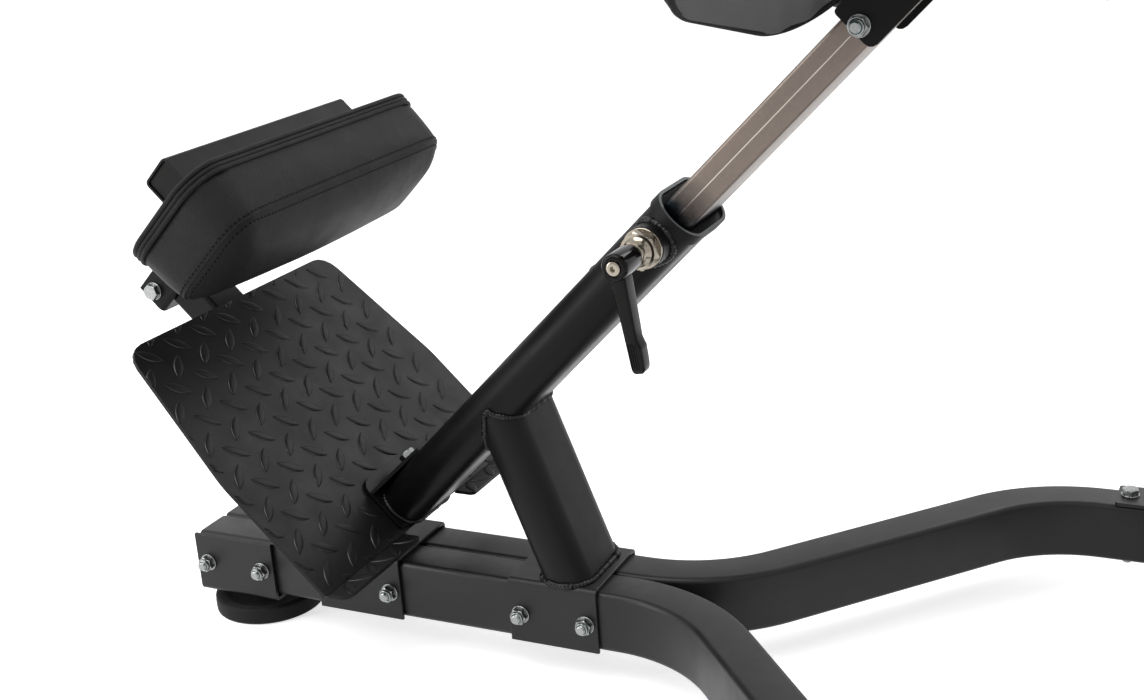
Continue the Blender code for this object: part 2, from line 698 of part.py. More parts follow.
def make_strut():
    lean = math.atan(STRUT_SLOPE)
    length = 0.24
    foot = SADDLE_TOP + GAP
    outer = obround(STRUT_ACROSS, TUBE_WIDTH, 12)
    inner = obround(STRUT_ACROSS - 2 * TUBE_WALL, TUBE_WIDTH - 2 * TUBE_WALL, 12)
    strut = prism("strut", [outer, inner], "Z", 0, length, BENCH, BLACK_STEEL)
    along = (TUBE_AXIS_N - (foot - BASE_BOTTOM - STRUT_FOOT_X) * math.cos(INCLINE)) / math.cos(
        INCLINE - lean)
    turn = Matrix.Rotation(-lean, 4, "Y")
    strut.matrix_local = (Matrix.Translation((STRUT_FOOT_X, 0, foot)) @ turn
                          @ Matrix.Translation((0, 0, along - length / 2)))
    ground = rounded_rect(0.4, 0.4, 0.01)
    boolean(strut, prism("strut_foot_cut", [ground], "Z", foot - 0.2, foot, BENCH, helper=True,
                         centre=(STRUT_FOOT_X, 0)))
    boolean(strut, prism("strut_tube_cut", [tube_outline(GAP)], "X", TUBE_LOW_S,
                         TUBE_HIGH_S, SLOPE, helper=True))


def make_post():
    outer = rounded_rect(POST_WIDTH, POST_HEIGHT, POST_CORNER)
    inner = rounded_rect(POST_WIDTH - 2 * POST_WALL, POST_HEIGHT - 2 * POST_WALL, 0.001)
    post = prism("post", [outer, inner], "X", POST_LOW_S, POST_HIGH_S, SLOPE, ALUMINIUM)
    for index, s in enumerate(HIP_BOLTS_S):
        drill(post, f"post_hole_{index}", BOLT_HOLE_R, "Y", -0.1, 0.1, SLOPE, (s, 0))
    low = POST_LOW_S - GAP
    plug = prism("post_plug", [tube_outline(-TUBE_WALL - GAP)], "X", low - PLUG_LENGTH, low,
                 SLOPE, BLACK_PLASTIC)
    spigot = rounded_rect(POST_WIDTH - 2 * POST_WALL - 2 * GAP,
                          POST_HEIGHT - 2 * POST_WALL - 2 * GAP, 0.001)
    boolean(plug, prism("post_plug_spigot", [spigot], "X", low - PLUG_LENGTH / 2,
                        low + PLUG_SPIGOT, SLOPE, helper=True), "UNION")


def make_stop():
    base = TUBE_HEIGHT / 2 + GAP
    tip = POST_HEIGHT / 2 + STOP_CLEAR
    turned("stop_screw", [(0, base + 0.0035), (0.003, base + 0.0035), (0.0055, base + 0.002),
                          (0.0065, base), (STOP_R, base), (STOP_R, tip), (0, tip)], "Z", SLOPE,
           BLACK_STEEL, centre=(STOP_S, 0), steps=16)


# Clamp

def make_clamp():
    boss = rod("clamp_boss", BOSS_R, "Y", -BOSS_FACE, -TUBE_WIDTH / 3, SLOPE, BLACK_STEEL,
               centre=(CLAMP_S, 0), steps=24)
    boolean(boss, prism("boss_tube_cut", [tube_outline(GAP)], "X", TUBE_LOW_S,
                        TUBE_HIGH_S, SLOPE, helper=True))
    drill(boss, "boss_bore", SPINDLE_R + GAP, "Y", -BOSS_FACE - 0.01, 0, SLOPE, (CLAMP_S, 0))
    face = BOSS_FACE + GAP
    hex_end = face + CLAMP_FLANGE + CLAMP_HEX_LENGTH
    body = turned("clamp_body", [
        (0, CLAMP_BODY_END), (CLAMP_NECK_R, CLAMP_BODY_END), (CLAMP_NECK_R, CLAMP_BODY_END - 0.004),
        (0.0115, hex_end + 0.004), (0.0140, hex_end), (0.0140, face + CLAMP_FLANGE),
        (CLAMP_FLANGE_R, face + CLAMP_FLANGE), (CLAMP_FLANGE_R, face), (0, face)],
        "Y", CLAMP, NICKEL)
    boolean(body, prism("clamp_hex", [hexagon(CLAMP_HEX)], "Y", -hex_end,
                        -face - CLAMP_FLANGE / 2, CLAMP, helper=True), "UNION")
    drill(body, "body_bore", SPINDLE_R + GAP, "Y", -CLAMP_BODY_END - 0.01, -face + 0.01, CLAMP,
          (0, 0))
    seat = CLAMP_BODY_END + GAP
    tip = POST_WIDTH / 2 + GAP + CLAMP_PAD
    turned("clamp_spindle", [
        (0, HUB_END + 0.0015), (0.0035, HUB_END + 0.0015), (0.0070, HUB_END + 0.0005),
        (0.0070, HUB_END - 0.006), (SPINDLE_R, HUB_END - 0.006), (SPINDLE_R, tip + GAP),
        (0, tip + GAP)], "Y", CLAMP, NICKEL, steps=24)
    rod("clamp_pad", SPINDLE_R, "Y", -tip, -POST_WIDTH / 2 - GAP, CLAMP, BLACK_PLASTIC, steps=24)
    hub = turned("clamp_lever", [
        (0, HUB_END), (0.0095, HUB_END), (HUB_R, HUB_END - 0.004), (HUB_R, seat + 0.010),
        (0.0095, seat), (0, seat)], "Y", CLAMP, GLOSS_BLACK)
    arm = tapered_arm()
    boolean(hub, arm, "UNION")
    drill(hub, "hub_screw_recess", 0.0073, "Y", -HUB_END - 0.01, -HUB_END + 0.0063, CLAMP, (0, 0))
    drill(hub, "hub_bore", SPINDLE_R + GAP, "Y", -HUB_END, -seat + 0.01, CLAMP, (0, 0))


def tapered_arm():
    """The lever's arm: a box drawn in towards its tip, with a small hook there."""
    mesh = bpy.data.meshes.new("lever_arm")
    shape = bmesh.new()
    bmesh.ops.create_cube(shape, size=1)
    for vert in shape.verts:
        tip = vert.co.z < 0
        width = LEVER_TIP if tip else LEVER_ROOT
        depth = LEVER_DEPTH * (0.80 if tip else 1.0)
        vert.co.x *= width
        vert.co.y = (vert.co.y + 0.5) * depth
        vert.co.z = -LEVER_LENGTH if tip else -HUB_R * 0.3
    shape.to_mesh(mesh)
    shape.free()
    arm = mesh_object("lever_arm", mesh, CLAMP, None, helper=True)
    arm.matrix_local = Matrix.Translation((0, -LEVER_FACE, 0)) @ Matrix.Rotation(
        -LEVER_LEAN, 4, "Y")
    chamfer(arm, 0.0018, 2)
    return arm


# Foot plate

def make_plate():
    outline = rounded_polygon([
        (-PLATE_HALF_LOW, PLATE_LOW_W, 0.002), (PLATE_HALF_LOW, PLATE_LOW_W, 0.002),
        (PLATE_HALF_LOW, PLATE_WAIST_W, 0.120), (PLATE_HALF_HIGH, PLATE_HIGH_W, PLATE_CORNER),
        (-PLATE_HALF_HIGH, PLATE_HIGH_W, PLATE_CORNER), (-PLATE_HALF_LOW, PLATE_WAIST_W, 0.120)],
        4)
    plate = prism("foot_plate", [outline], "X", PLATE_BACK_S, PLATE_FRONT_S, SLOPE, BLACK_STEEL)
    top = BASE_BOTTOM + LIP_TOP
    back_x = ((PLATE_FRONT_S - PLATE_THICKNESS / 2) * math.cos(INCLINE)
              - (TUBE_AXIS_N + PLATE_LOW_W + 0.002) * math.sin(INCLINE))
    for name, side in (("lip_right", -1), ("lip_left", 1)):
        corners = [(back_x, LIP_INNER_Y, 0.001), (LIP_FRONT_X, LIP_INNER_Y, 0.006),
                   (LIP_FRONT_X, LIP_OUTER_Y, 0.012), (back_x, LIP_OUTER_Y, 0.001)]
        if side < 0:
            corners = [(x, -y, radius) for x, y, radius in reversed(corners)]
        boolean(plate, prism(name, [rounded_polygon(corners, 4)], "Z", top - PLATE_THICKNESS, top,
                             BENCH, helper=True), "UNION")


def make_tab():
    base = TUBE_HEIGHT / 2 + GAP
    rear = PLATE_FRONT_S + GAP
    flat = rounded_polygon([(rear, -TAB_HALF_REAR, 0.003), (TAB_FRONT_S, -TAB_HALF_FRONT, 0.010),
                            (TAB_FRONT_S, TAB_HALF_FRONT, 0.010), (rear, TAB_HALF_REAR, 0.003)])
    tab = prism("tab", [flat], "Z", base, base + SHEET, SLOPE, BLACK_STEEL)
    upright = rounded_polygon([(-TAB_HALF_REAR, TAB_LOW_W, 0.004), (TAB_HALF_REAR, TAB_LOW_W, 0.004),
                               (TAB_HALF_REAR, base + TAB_HEIGHT, 0.016),
                               (-TAB_HALF_REAR, base + TAB_HEIGHT, 0.016)])
    boolean(tab, prism("tab_upright", [upright], "X", rear, rear + SHEET, SLOPE, helper=True),
            "UNION")
    drill(tab, "tab_hole", BOLT_HOLE_R, "Z", base - 0.01, base + 0.02, SLOPE, (TAB_BOLT_S, 0))
    seat = base + SHEET + GAP
    screw = rod("tab_bolt", BOLT_R, "Z", TUBE_HEIGHT / 2 - TUBE_WALL + GAP, seat + WASHER, SLOPE,
                ZINC, centre=(TAB_BOLT_S, 0), steps=16)
    boolean(screw, rod("tab_washer", WASHER_R, "Z", seat, seat + WASHER, SLOPE,
                       centre=(TAB_BOLT_S, 0), helper=True), "UNION")
    boolean(screw, prism("tab_head", [hexagon(HEX)], "Z", seat + WASHER / 2,
                         seat + WASHER + HEAD, SLOPE, centre=(TAB_BOLT_S, 0), helper=True),
            "UNION")


# Arm and calf pad

def make_arm():
    outer = rounded_rect(ARM_DEPTH, ARM_WIDTH, ARM_CORNER)
    inner = rounded_rect(ARM_DEPTH - 2 * ARM_WALL, ARM_WIDTH - 2 * ARM_WALL,
                         ARM_CORNER - ARM_WALL)
    prism("arm", [outer, inner], "Z", ARM_LOW_W, ARM_HIGH_W, SLOPE, BLACK_STEEL,
          centre=(ARM_S, 0))
    length = PROP_X[1] - PROP_X[0]
    outer = rounded_rect(length, ARM_WIDTH, ARM_CORNER)
    inner = rounded_rect(length - 2 * ARM_WALL, ARM_WIDTH - 2 * ARM_WALL, ARM_CORNER - ARM_WALL)
    foot = SADDLE_TOP + GAP
    prop = prism("arm_prop", [outer, inner], "Z", foot, foot + 0.16, BENCH, BLACK_STEEL,
                 centre=(sum(PROP_X) / 2, 0))
    back = ARM_S - ARM_DEPTH / 2 - GAP
    boolean(prop, prism("prop_cut", [rounded_rect(0.4, 0.6, 0.01)], "X", back, back + 0.4, SLOPE,
                        helper=True, centre=(0, 0)))


def make_calf_mount():
    web = CALF_WEB_W
    top = web + CALF_BRACKET_SIDE
    outline = rounded_polygon([
        (-CALF_BRACKET_OUTER, web, 0.006), (CALF_BRACKET_OUTER, web, 0.006),
        (CALF_BRACKET_OUTER, top, 0.001), (CALF_BRACKET_INNER, top, 0),
        (CALF_BRACKET_INNER, web + SHEET, 0.0015), (-CALF_BRACKET_INNER, web + SHEET, 0.0015),
        (-CALF_BRACKET_INNER, top, 0), (-CALF_BRACKET_OUTER, top, 0.001)])
    bracket = prism("calf_bracket", [outline], "X", *CALF_BRACKET_S, SLOPE, BLACK_STEEL)
    middle = CALF_BAR_W + CALF_BAR_HEIGHT / 2
    outer = rounded_rect(CALF_BAR_WIDTH, CALF_BAR_HEIGHT, ARM_CORNER)
    inner = rounded_rect(CALF_BAR_WIDTH - 2 * ARM_WALL, CALF_BAR_HEIGHT - 2 * ARM_WALL,
                         ARM_CORNER - ARM_WALL)
    bar = prism("calf_bar", [outer, inner], "X", CALF_BAR_REAR_S, CALF_TUBE_S - GAP, SLOPE,
                BLACK_STEEL, centre=(0, middle))
    mesh = bolt_mesh("calf_bolt", 2 * CALF_BRACKET_OUTER, NUT, NYLOC)
    for index, s in enumerate(CALF_BOLTS_S):
        for piece, name in ((bracket, "calf_bracket_hole"), (bar, "calf_bar_hole")):
            drill(piece, f"{name}_{index}", BOLT_HOLE_R, "Y", -0.1, 0.1, SLOPE,
                  (s, middle + CALF_BOLT_RISE))
        bolt(f"calf_bolt_{index + 1}", mesh, SLOPE, AXES["Y"], (s, 0, middle + CALF_BOLT_RISE))
    centre = (CALF_TUBE_S + CALF_TUBE_DEPTH / 2, CALF_TUBE_W + CALF_TUBE_HEIGHT / 2)
    outer = rounded_rect(CALF_TUBE_DEPTH, CALF_TUBE_HEIGHT, ARM_CORNER)
    inner = rounded_rect(CALF_TUBE_DEPTH - 2 * ARM_WALL, CALF_TUBE_HEIGHT - 2 * ARM_WALL,
                         ARM_CORNER - ARM_WALL)
    half = CALF_TUBE_LENGTH / 2
    prism("calf_cross_tube", [outer, inner], "Y", -half, half, SLOPE, BLACK_STEEL, centre=centre)
    spigot = rounded_rect(CALF_TUBE_DEPTH - 2 * ARM_WALL - 2 * GAP,
                          CALF_TUBE_HEIGHT - 2 * ARM_WALL - 2 * GAP, 0.0022)
    for name, side in (("calf_cap_right", -1), ("calf_cap_left", 1)):
        ends = sorted((side * (half - 0.002), side * (half - 0.014)))
        prism(name, [spigot], "Y", *ends, SLOPE, BLACK_PLASTIC, centre=centre)


def cushion(name, length, width, corner, levels, parent, look, matrix):
    """A cushion lofted through rounded outlines: height from its back, inset in x, inset in y."""
    rings = []
    for height, inset_x, inset_y in levels:
        radius = max(corner - inset_x * 0.55, 0.008)
        ring = rounded_rect(length - 2 * inset_x, width - 2 * inset_y,
                            min(radius, length / 2 - inset_x - 0.001), 3)
        rings.append([(x, y, height) for x, y in ring])
    count = len(rings[0])
    mesh = bpy.data.meshes.new(name)
    shape = bmesh.new()
    made = [[shape.verts.new(point) for point in ring] for ring in rings]
    for low, high in zip(made, made[1:]):
        for index in range(count):
            after = (index + 1) % count
            shape.faces.new((low[index], low[after], high[after], high[index]))
    shape.faces.new(list(reversed(made[0])))
    shape.faces.new(made[-1])
    shape.to_mesh(mesh)
    shape.free()
    crease = mesh.attributes.new("crease_edge", "FLOAT", "EDGE")
    for edge in mesh.edges:
        if all(index < count for index in edge.vertices):
            crease.data[edge.index].value = 1.0
    mesh.shade_smooth()
    pad = mesh_object(name, mesh, parent, look)
    pad.matrix_local = matrix
    smooth = pad.modifiers.new("soft", "SUBSURF")
    smooth.levels = 1
    smooth.render_levels = 1
    return pad


def pad_levels(thickness, taper_x, taper_y, crown):
    """A side wall that draws in towards the front seam, then a crowned front panel."""
    edge = thickness - crown
    levels = []
    for height, share, extra in ((0, 0, 0), (0.004, -0.03, 0), (edge * 0.45, 0.42, 0),
                                 (edge * 0.88, 0.86, 0), (edge, 1.0, 0.001),
                                 (edge + crown * 0.42, 1.0, 0.010),
                                 (edge + crown * 0.82, 1.0, 0.028), (thickness, 1.0, 0.044)):
        levels.append((height, taper_x * share + extra, taper_y * share + extra))
    return levels


def make_calf_pad():
    centre_s = sum(CALF_PAD_S) / 2
    length = CALF_PAD_S[1] - CALF_PAD_S[0]
    prism("calf_board", [rounded_rect(length, CALF_PAD_WIDTH, CALF_PAD_CORNER, 5)], "Z",
          CALF_BOARD_W - BOARD, CALF_BOARD_W, SLOPE, BOARD_COVER, centre=(centre_s, 0))
    flip = Matrix.Translation((centre_s, 0, CALF_BOARD_W - BOARD - GAP)) @ Matrix.Rotation(
        math.pi, 4, "X")
    cushion("calf_pad", length, CALF_PAD_WIDTH, CALF_PAD_CORNER,
            pad_levels(CALF_PAD_THICKNESS, 0.003, 0.004, CALF_PAD_CROWN), SLOPE, VINYL, flip)


# Hip pads and handles

def make_hip_side(name, side):
    """One side's folded bracket, with its board and pad on the plane that rises outwards."""
    plane = empty(f"hip_plane_{name}", SLOPE)
    plane.location = (0, side * HIP_PLANE_Y, HIP_PLANE_W)
    plane.rotation_euler = (side * HIP_TILT, 0, 0)
    low, high = HIP_BRACKET_S
    top = HIP_PLANE_W - 0.002
    outline = rounded_polygon([(low, HIP_BRACKET_LOW_W, HIP_BRACKET_CORNER),
                               (high, HIP_BRACKET_LOW_W, HIP_BRACKET_CORNER),
                               (high, top, 0.001), (low, top, 0.004)])
    faces = sorted((side * HIP_BRACKET_INNER, side * HIP_BRACKET_OUTER))
    bracket = prism(f"hip_bracket_{name}", [outline], "Y", *faces, SLOPE, BLACK_STEEL)
    inner_edge = -0.0045
    middle = side * (inner_edge + HIP_FLANGE_WIDTH) / 2
    flange = rounded_rect(high - HIP_FLANGE_S, HIP_FLANGE_WIDTH - inner_edge, 0.0005, 1)
    boolean(bracket, prism(f"hip_flange_{name}", [flange], "Z", -GAP - SHEET, -GAP, plane,
                           centre=((high + HIP_FLANGE_S) / 2, middle), helper=True), "UNION")
    spacer = sorted((side * (POST_WIDTH / 2 + GAP), side * (HIP_BRACKET_INNER + SHEET / 2)))
    for index, s in enumerate(HIP_BOLTS_S):
        boolean(bracket, rod(f"hip_{name}_spacer_{index}", HIP_SPACER_R, "Y", *spacer, SLOPE,
                             centre=(s, 0), helper=True, steps=14), "UNION")
    for index, s in enumerate(HIP_BOLTS_S):
        drill(bracket, f"hip_{name}_hole_{index}", BOLT_HOLE_R, "Y", -0.1, 0.1, SLOPE, (s, 0))
    drill(bracket, f"handle_hole_{name}", HANDLE_R + GAP, "Y", -0.1, 0.1, SLOPE, (HANDLE_S, 0),
          steps=24)
    length = HIP_PAD_S[1] - HIP_PAD_S[0]
    centre = (sum(HIP_PAD_S) / 2, side * (HIP_PAD_WIDTH / 2 - 0.002))
    prism(f"hip_board_{name}", [rounded_rect(length, HIP_PAD_WIDTH, HIP_PAD_CORNER, 5)], "Z",
          0, BOARD, plane, BOARD_COVER, centre=centre)
    cushion(f"hip_pad_{name}", length, HIP_PAD_WIDTH, HIP_PAD_CORNER,
            pad_levels(HIP_PAD_THICKNESS, 0.004, 0.004, HIP_PAD_CROWN), plane, VINYL,
            Matrix.Translation((*centre, BOARD + GAP)))


def make_hip_bolts():
    mesh = bolt_mesh("hip_bolt", 2 * HIP_BRACKET_OUTER, NUT, NYLOC)
    for index, s in enumerate(HIP_BOLTS_S):
        bolt(f"hip_bolt_{index + 1}", mesh, SLOPE, HEAD_FAR, (s, 0, 0))


def handle_path():
    """Down one grip, round the bend, across and down the other grip, in the plane of y and w."""
    steps = 4
    points = [(-HANDLE_HALF, -HANDLE_DROP)]
    for step in range(steps + 1):
        angle = math.pi / 2 * step / steps
        points.append((-HANDLE_HALF + HANDLE_BEND * (1 - math.cos(angle)),
                       -HANDLE_BEND + HANDLE_BEND * math.sin(angle)))
    return points + [(-y, w) for y, w in reversed(points)]


def make_handles():
    curve = bpy.data.curves.new("handle_bar", "CURVE")
    curve.dimensions = "3D"
    curve.bevel_depth = HANDLE_R
    curve.bevel_resolution = 2
    line = curve.splines.new("POLY")
    path = handle_path()
    line.points.add(len(path) - 1)
    for point, (y, w) in zip(line.points, path):
        point.co = (HANDLE_S, y, w, 1)
    drawn = bpy.data.objects.new("handle_path", curve)
    CUTTERS.objects.link(drawn)
    mesh = evaluated_mesh(drawn, "handle_bar")
    bpy.data.objects.remove(drawn)
    weld(mesh)
    mesh.shade_smooth()
    bar = mesh_object("handle_bar", mesh, SLOPE, BLACK_STEEL)
    skin = bar.modifiers.new("wall", "SOLIDIFY")
    skin.thickness = HANDLE_WALL
    skin.offset = -1
    skin.use_rim = True
    for name, side in (("grip_right", -1), ("grip_left", 1)):
        bore = HANDLE_R + GAP
        end = 0.004
        bottom = -HANDLE_DROP - end
        turned(name, [
            (bore, bottom + GRIP_LENGTH), (GRIP_R - 0.001, bottom + GRIP_LENGTH),
            (GRIP_R, bottom + GRIP_LENGTH - 0.001), (GRIP_R, bottom + 0.003),
            (GRIP_R - 0.003, bottom), (0, bottom)], "Z", SLOPE, RUBBER,
            centre=(HANDLE_S, side * HANDLE_HALF), steps=20)
        grip = bpy.data.objects[name]
        close_bore(grip, bore, bottom + GRIP_LENGTH, -HANDLE_DROP - GAP)


def close_bore(grip, bore, top, floor):
    """Adds the inner wall and floor to a grip's profile, so that it spins into a closed cup."""
    mesh = grip.data
    points = [(0, 0, floor), (bore, 0, floor)] + [tuple(vert.co) for vert in mesh.vertices]
    mesh.clear_geometry()
    mesh.from_pydata(points, [(i, i + 1) for i in range(len(points) - 1)], [])


make_legs()
make_rear_bracket()
make_saddle("mid_saddle", MID_SADDLE_X - MID_SADDLE_LENGTH, MID_SADDLE_X,
            [base_bolt_places()["mid_bolt_back"], base_bolt_places()["mid_bolt_front"]])
make_saddle("strut_saddle", -FRONT_SADDLE_LENGTH, 0,
            [base_bolt_places()["strut_bolt_back"], base_bolt_places()["strut_bolt_front"]])
make_base_bolts()
make_front()
make_foot("rear_foot", REAR_FOOT_X, 0, BASE_BOTTOM - REAR_BRACKET_DROP - SHEET)
make_foot("front_foot_right", FRONT_TUBE_X + LEG_WIDTH / 2, -FRONT_FOOT_Y, BASE_BOTTOM)
make_foot("front_foot_left", FRONT_TUBE_X + LEG_WIDTH / 2, FRONT_FOOT_Y, BASE_BOTTOM)
make_main_tube()
make_collar()
make_strut()
make_post()
make_stop()
make_clamp()
make_plate()
make_tab()
make_arm()
make_calf_mount()
make_calf_pad()
make_hip_side("right", -1)
make_hip_side("left", 1)
make_hip_bolts()
make_handles()
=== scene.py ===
"""Surfaces, covers and finishes for a 45 degree back extension bench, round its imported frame.

Positions are in metres. The sloping tube has axes of its own: s runs up along it, y is across
the bench and w is square to both, out of the tube's upper face. +X is the hip pads' end.
"""

import math

import bmesh
import bpy
import numpy as np
from bpy.props import FloatProperty, FloatVectorProperty, IntProperty, PointerProperty
from mathutils import Matrix, Vector
from mathutils.bvhtree import BVHTree


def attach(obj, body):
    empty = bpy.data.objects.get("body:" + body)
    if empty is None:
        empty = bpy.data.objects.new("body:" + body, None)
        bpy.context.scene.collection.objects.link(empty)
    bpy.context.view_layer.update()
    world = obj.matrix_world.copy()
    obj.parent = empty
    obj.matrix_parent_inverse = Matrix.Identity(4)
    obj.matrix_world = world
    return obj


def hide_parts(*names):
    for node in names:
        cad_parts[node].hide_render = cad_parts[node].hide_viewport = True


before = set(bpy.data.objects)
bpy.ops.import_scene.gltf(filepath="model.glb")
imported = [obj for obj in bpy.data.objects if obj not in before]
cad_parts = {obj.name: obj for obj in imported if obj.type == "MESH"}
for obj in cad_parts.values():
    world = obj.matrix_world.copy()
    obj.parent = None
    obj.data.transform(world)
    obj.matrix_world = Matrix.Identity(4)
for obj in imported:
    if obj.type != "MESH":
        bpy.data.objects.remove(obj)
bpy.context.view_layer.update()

bl_info = {
    "name": "Back extension bench finish",
    "version": (1, 0, 0),
    "blender": (4, 5, 0),
    "location": "View3D > Sidebar > Bench",
    "description": "Makes the covers, fine metal, rubber and finishes of a back extension bench",
    "category": "Object",
}

# Where things are, repeated from the frame's own sizes
ROOT_HALF = math.sqrt(0.5)
CENTRE_X = 0.051693
BASE_BOTTOM = 0.039
BASE_BOLT_UP = 0.0315
LEG_SIZE = (0.050, 0.068, 0.006)  # width, height, corner
LEG_WALL = 0.0025
LEG_REAR_X = -0.5128
LEG_BEND_X = 0.020
LEG_BEND = math.radians(48.5)
LEG_RADII = (0.180, 0.162)
LEG_Y = 0.02515
LEG_SPREAD = 0.3445
LEG_END_X = 0.5717
REAR_COVER_X = LEG_REAR_X - 0.0043
MID_SADDLE_X = -0.2395
MID_SADDLE_LENGTH = 0.1085
STRUT_SADDLE_X = -0.1033
SADDLE_BOLT_IN = 0.0135
SADDLE_OUTER = 0.05445
SADDLE_TOP = 0.1113
TONGUE_BOLT_X = (0.4845, 0.5450)
# Each foot's node, its x and y, and the height of the steel over it
FEET = (("rear_foot", -0.4609, 0, BASE_BOTTOM - 0.0026 - 0.004),
        ("front_foot_right", 0.597, -0.330, BASE_BOTTOM),
        ("front_foot_left", 0.597, 0.330, BASE_BOTTOM))
TUBE = (0.108, 0.054, 0.003)  # across, out, wall
TUBE_S = (-0.0754, 0.3970)
COLLAR_S = (0.3973, 0.4105)
POST = (0.088, 0.033, 0.0035, 0.003)  # across, out, corner, wall
POST_S = (0.150, 0.825)
STOP_S = 0.284
STRUT_X = -0.041
STRUT_LEAN = math.atan(0.375)
PROP_X = -0.3025
CLAMP = (0.028776, 0.490278)  # world x and z of its axis
CLAMP_S = 0.376
BOSS_RADIUS = 0.0212
LEVER_Y = -0.127
LEVER_LEAN = math.radians(8.9)
LEVER_TOP = 0.004
LEVER_LENGTH = 0.099
SCREW_BORE = 0.0063
PLATE_FACE_S = -0.080
PLATE_LOW_W = -0.0262
PLATE_HIGH_W = 0.3023
PLATE_WAIST_W = 0.128
PLATE_HALF = (0.2125, 0.1845)  # at the waist, at the top
LIP_X = (-0.2235, -0.2010)
LIP_Y = (0.0605, 0.2070)
LIP_TOP = 0.149
TREAD_Y = -0.1655
TREAD_W = 0.5473 - 0.2622
TAB_BOLT_S = -0.050
CALF_BOLT_S = (-0.128, -0.085)
CALF_BOLT_W = 0.3706
CALF_BOLT_GRIP = 0.068
HIP_BOLT_S = (0.662, 0.780)
HIP_BOLT_GRIP = 0.1076
CALF_S = 0.088
CALF_W = 0.3392
HIP_S = 0.763
HIP_TILT = math.radians(20)
HIP_EDGE = (0.050, 0.0268)  # y and w where a hip pad's plane starts
HIP_MIDDLE = (0.1155, 0.0123)  # from there across and out to the pad's back
CALF_PAD = {"length": 0.142, "width": 0.419, "corner": 0.040, "thickness": 0.073, "crown": 0.016,
            "bulge": 0.0085}
HIP_PAD = {"length": 0.300, "width": 0.235, "corner": 0.068, "thickness": 0.070, "crown": 0.014,
           "bulge": 0.0040}
BOARD = 0.012
PAD_BEHIND = 0.0003
HANDLE = {"s": 0.8575, "radius": 0.0125, "half": 0.200, "bend": 0.035, "drop": 0.124}
BOLT = {"shaft": 0.005, "washer": 0.01025, "sheet": 0.002, "hex": 0.0165, "head": 0.0064,
        "nut": 0.0070, "ring": 0.0030, "end": 0.0030}

INCLINE = np.array([[ROOT_HALF, 0, -ROOT_HALF, -0.237097],
                    [0, 1, 0, 0],
                    [ROOT_HALF, 0, ROOT_HALF, 0.224404],
                    [0, 0, 0, 1]])


# Sizes and colours that can be changed

def distance(name, text, value, low, high):
    """A length that can be changed."""
    return FloatProperty(name=name, description=text, default=value, min=low, max=high,
                         unit="LENGTH")


def colour(name, text, value):
    """A colour that can be changed."""
    return FloatVectorProperty(name=name, description=text, subtype="COLOR", size=3,
                               default=value, min=0.0, max=1.0)


class BenchSizes(bpy.types.PropertyGroup):
    tread_length: distance("Tread mark length", "Length of one raised lens on the foot plate",
                           0.0335, 0.01, 0.05)
    tread_width: distance("Tread mark width", "Greatest width of one raised lens",
                          0.0115, 0.002, 0.02)
    tread_height: distance("Tread mark height", "How far a lens stands above the plate",
                           0.0012, 0.0003, 0.003)
    tread_pitch: distance("Tread pitch", "Distance between like lenses along either side",
                          0.0451, 0.02, 0.1)
    stitch_length: distance("Stitch length", "Length of thread that shows in one stitch",
                            0.0030, 0.001, 0.01)
    stitch_pitch: distance("Stitch pitch", "Distance from one stitch to the next",
                           0.0058, 0.002, 0.02)
    weld_radius: distance("Weld bead radius", "Half the width of a weld bead",
                          0.0030, 0.001, 0.006)
    swell: distance("Cover swell", "The most that a cover may lift off its foam block",
                    0.0045, 0.0, 0.012)
    voxel: distance("Cover cell", "Cell size of a cover before it is inflated",
                    0.0050, 0.003, 0.01)
    inflate_frames: IntProperty(name="Inflation steps", default=20, min=5, max=60,
                                description="Steps that the cover is inflated for")


class BenchColours(bpy.types.PropertyGroup):
    coat: colour("Powder coat", "Satin black of the steel pieces", (0.0050, 0.0048, 0.0049))
    cover: colour("Cover", "Black leatherette of the pads", (0.0062, 0.0060, 0.0062))
    # The backing's grey is a painted sheen over black, standing in for light on the boards'
    # undersides.
    backing: colour("Backing", "Grey black cover on the boards", (0.095, 0.096, 0.097))
    thread: colour("Thread", "Stitching of the pads", (0.0012, 0.0012, 0.0013))
    aluminium: colour("Aluminium", "Satin post", (0.178, 0.147, 0.128))
    zinc: colour("Zinc", "Bolts and nuts", (0.28, 0.29, 0.285))
    nickel: colour("Nickel", "Clamp body and screw", (0.30, 0.268, 0.222))
    insert: colour("Nut insert", "Nylon ring of a lock nut", (0.05, 0.17, 0.20))
    gloss: colour("Gloss black", "Clamp lever", (0.0030, 0.0024, 0.0021))
    rubber: colour("Rubber", "Feet and grips", (0.0085, 0.0085, 0.0085))
    plastic: colour("Plastic", "Collar and caps", (0.0068, 0.0064, 0.0062))
    floor: colour("Floor", "Plain pale floor", (0.86, 0.86, 0.86))


# Places, and objects with their settings

def placed(matrix, points):
    """Each point times a 4x4 matrix."""
    return np.asarray(points) @ matrix[:3, :3].T + matrix[:3, 3]


def incline(s, y, w):
    """World points from the sloping tube's distances: s along it, y across, w square to both."""
    return placed(INCLINE, np.stack(np.broadcast_arrays(s, y, w), -1))


def from_incline(points):
    """The other way: each world point's (s, y, w), by the transpose of the slope's turn."""
    return (points - INCLINE[:3, 3]) @ INCLINE[:3, :3]


def base_point(x, y, z):
    """World points from distances along the base, with the frame's own centre taken off x."""
    return np.stack(np.broadcast_arrays(x - CENTRE_X, y, z), -1)


def standing(x, y):
    """Places (along, p, q) about an upright axis over a point of the base."""
    return lambda along, p, q: base_point(x + p, y + q, along)


def on_slope(s):
    """Places (along, p, q) about an axis that stands square on the slope."""
    return lambda along, p, q: incline(s + p, q, along)


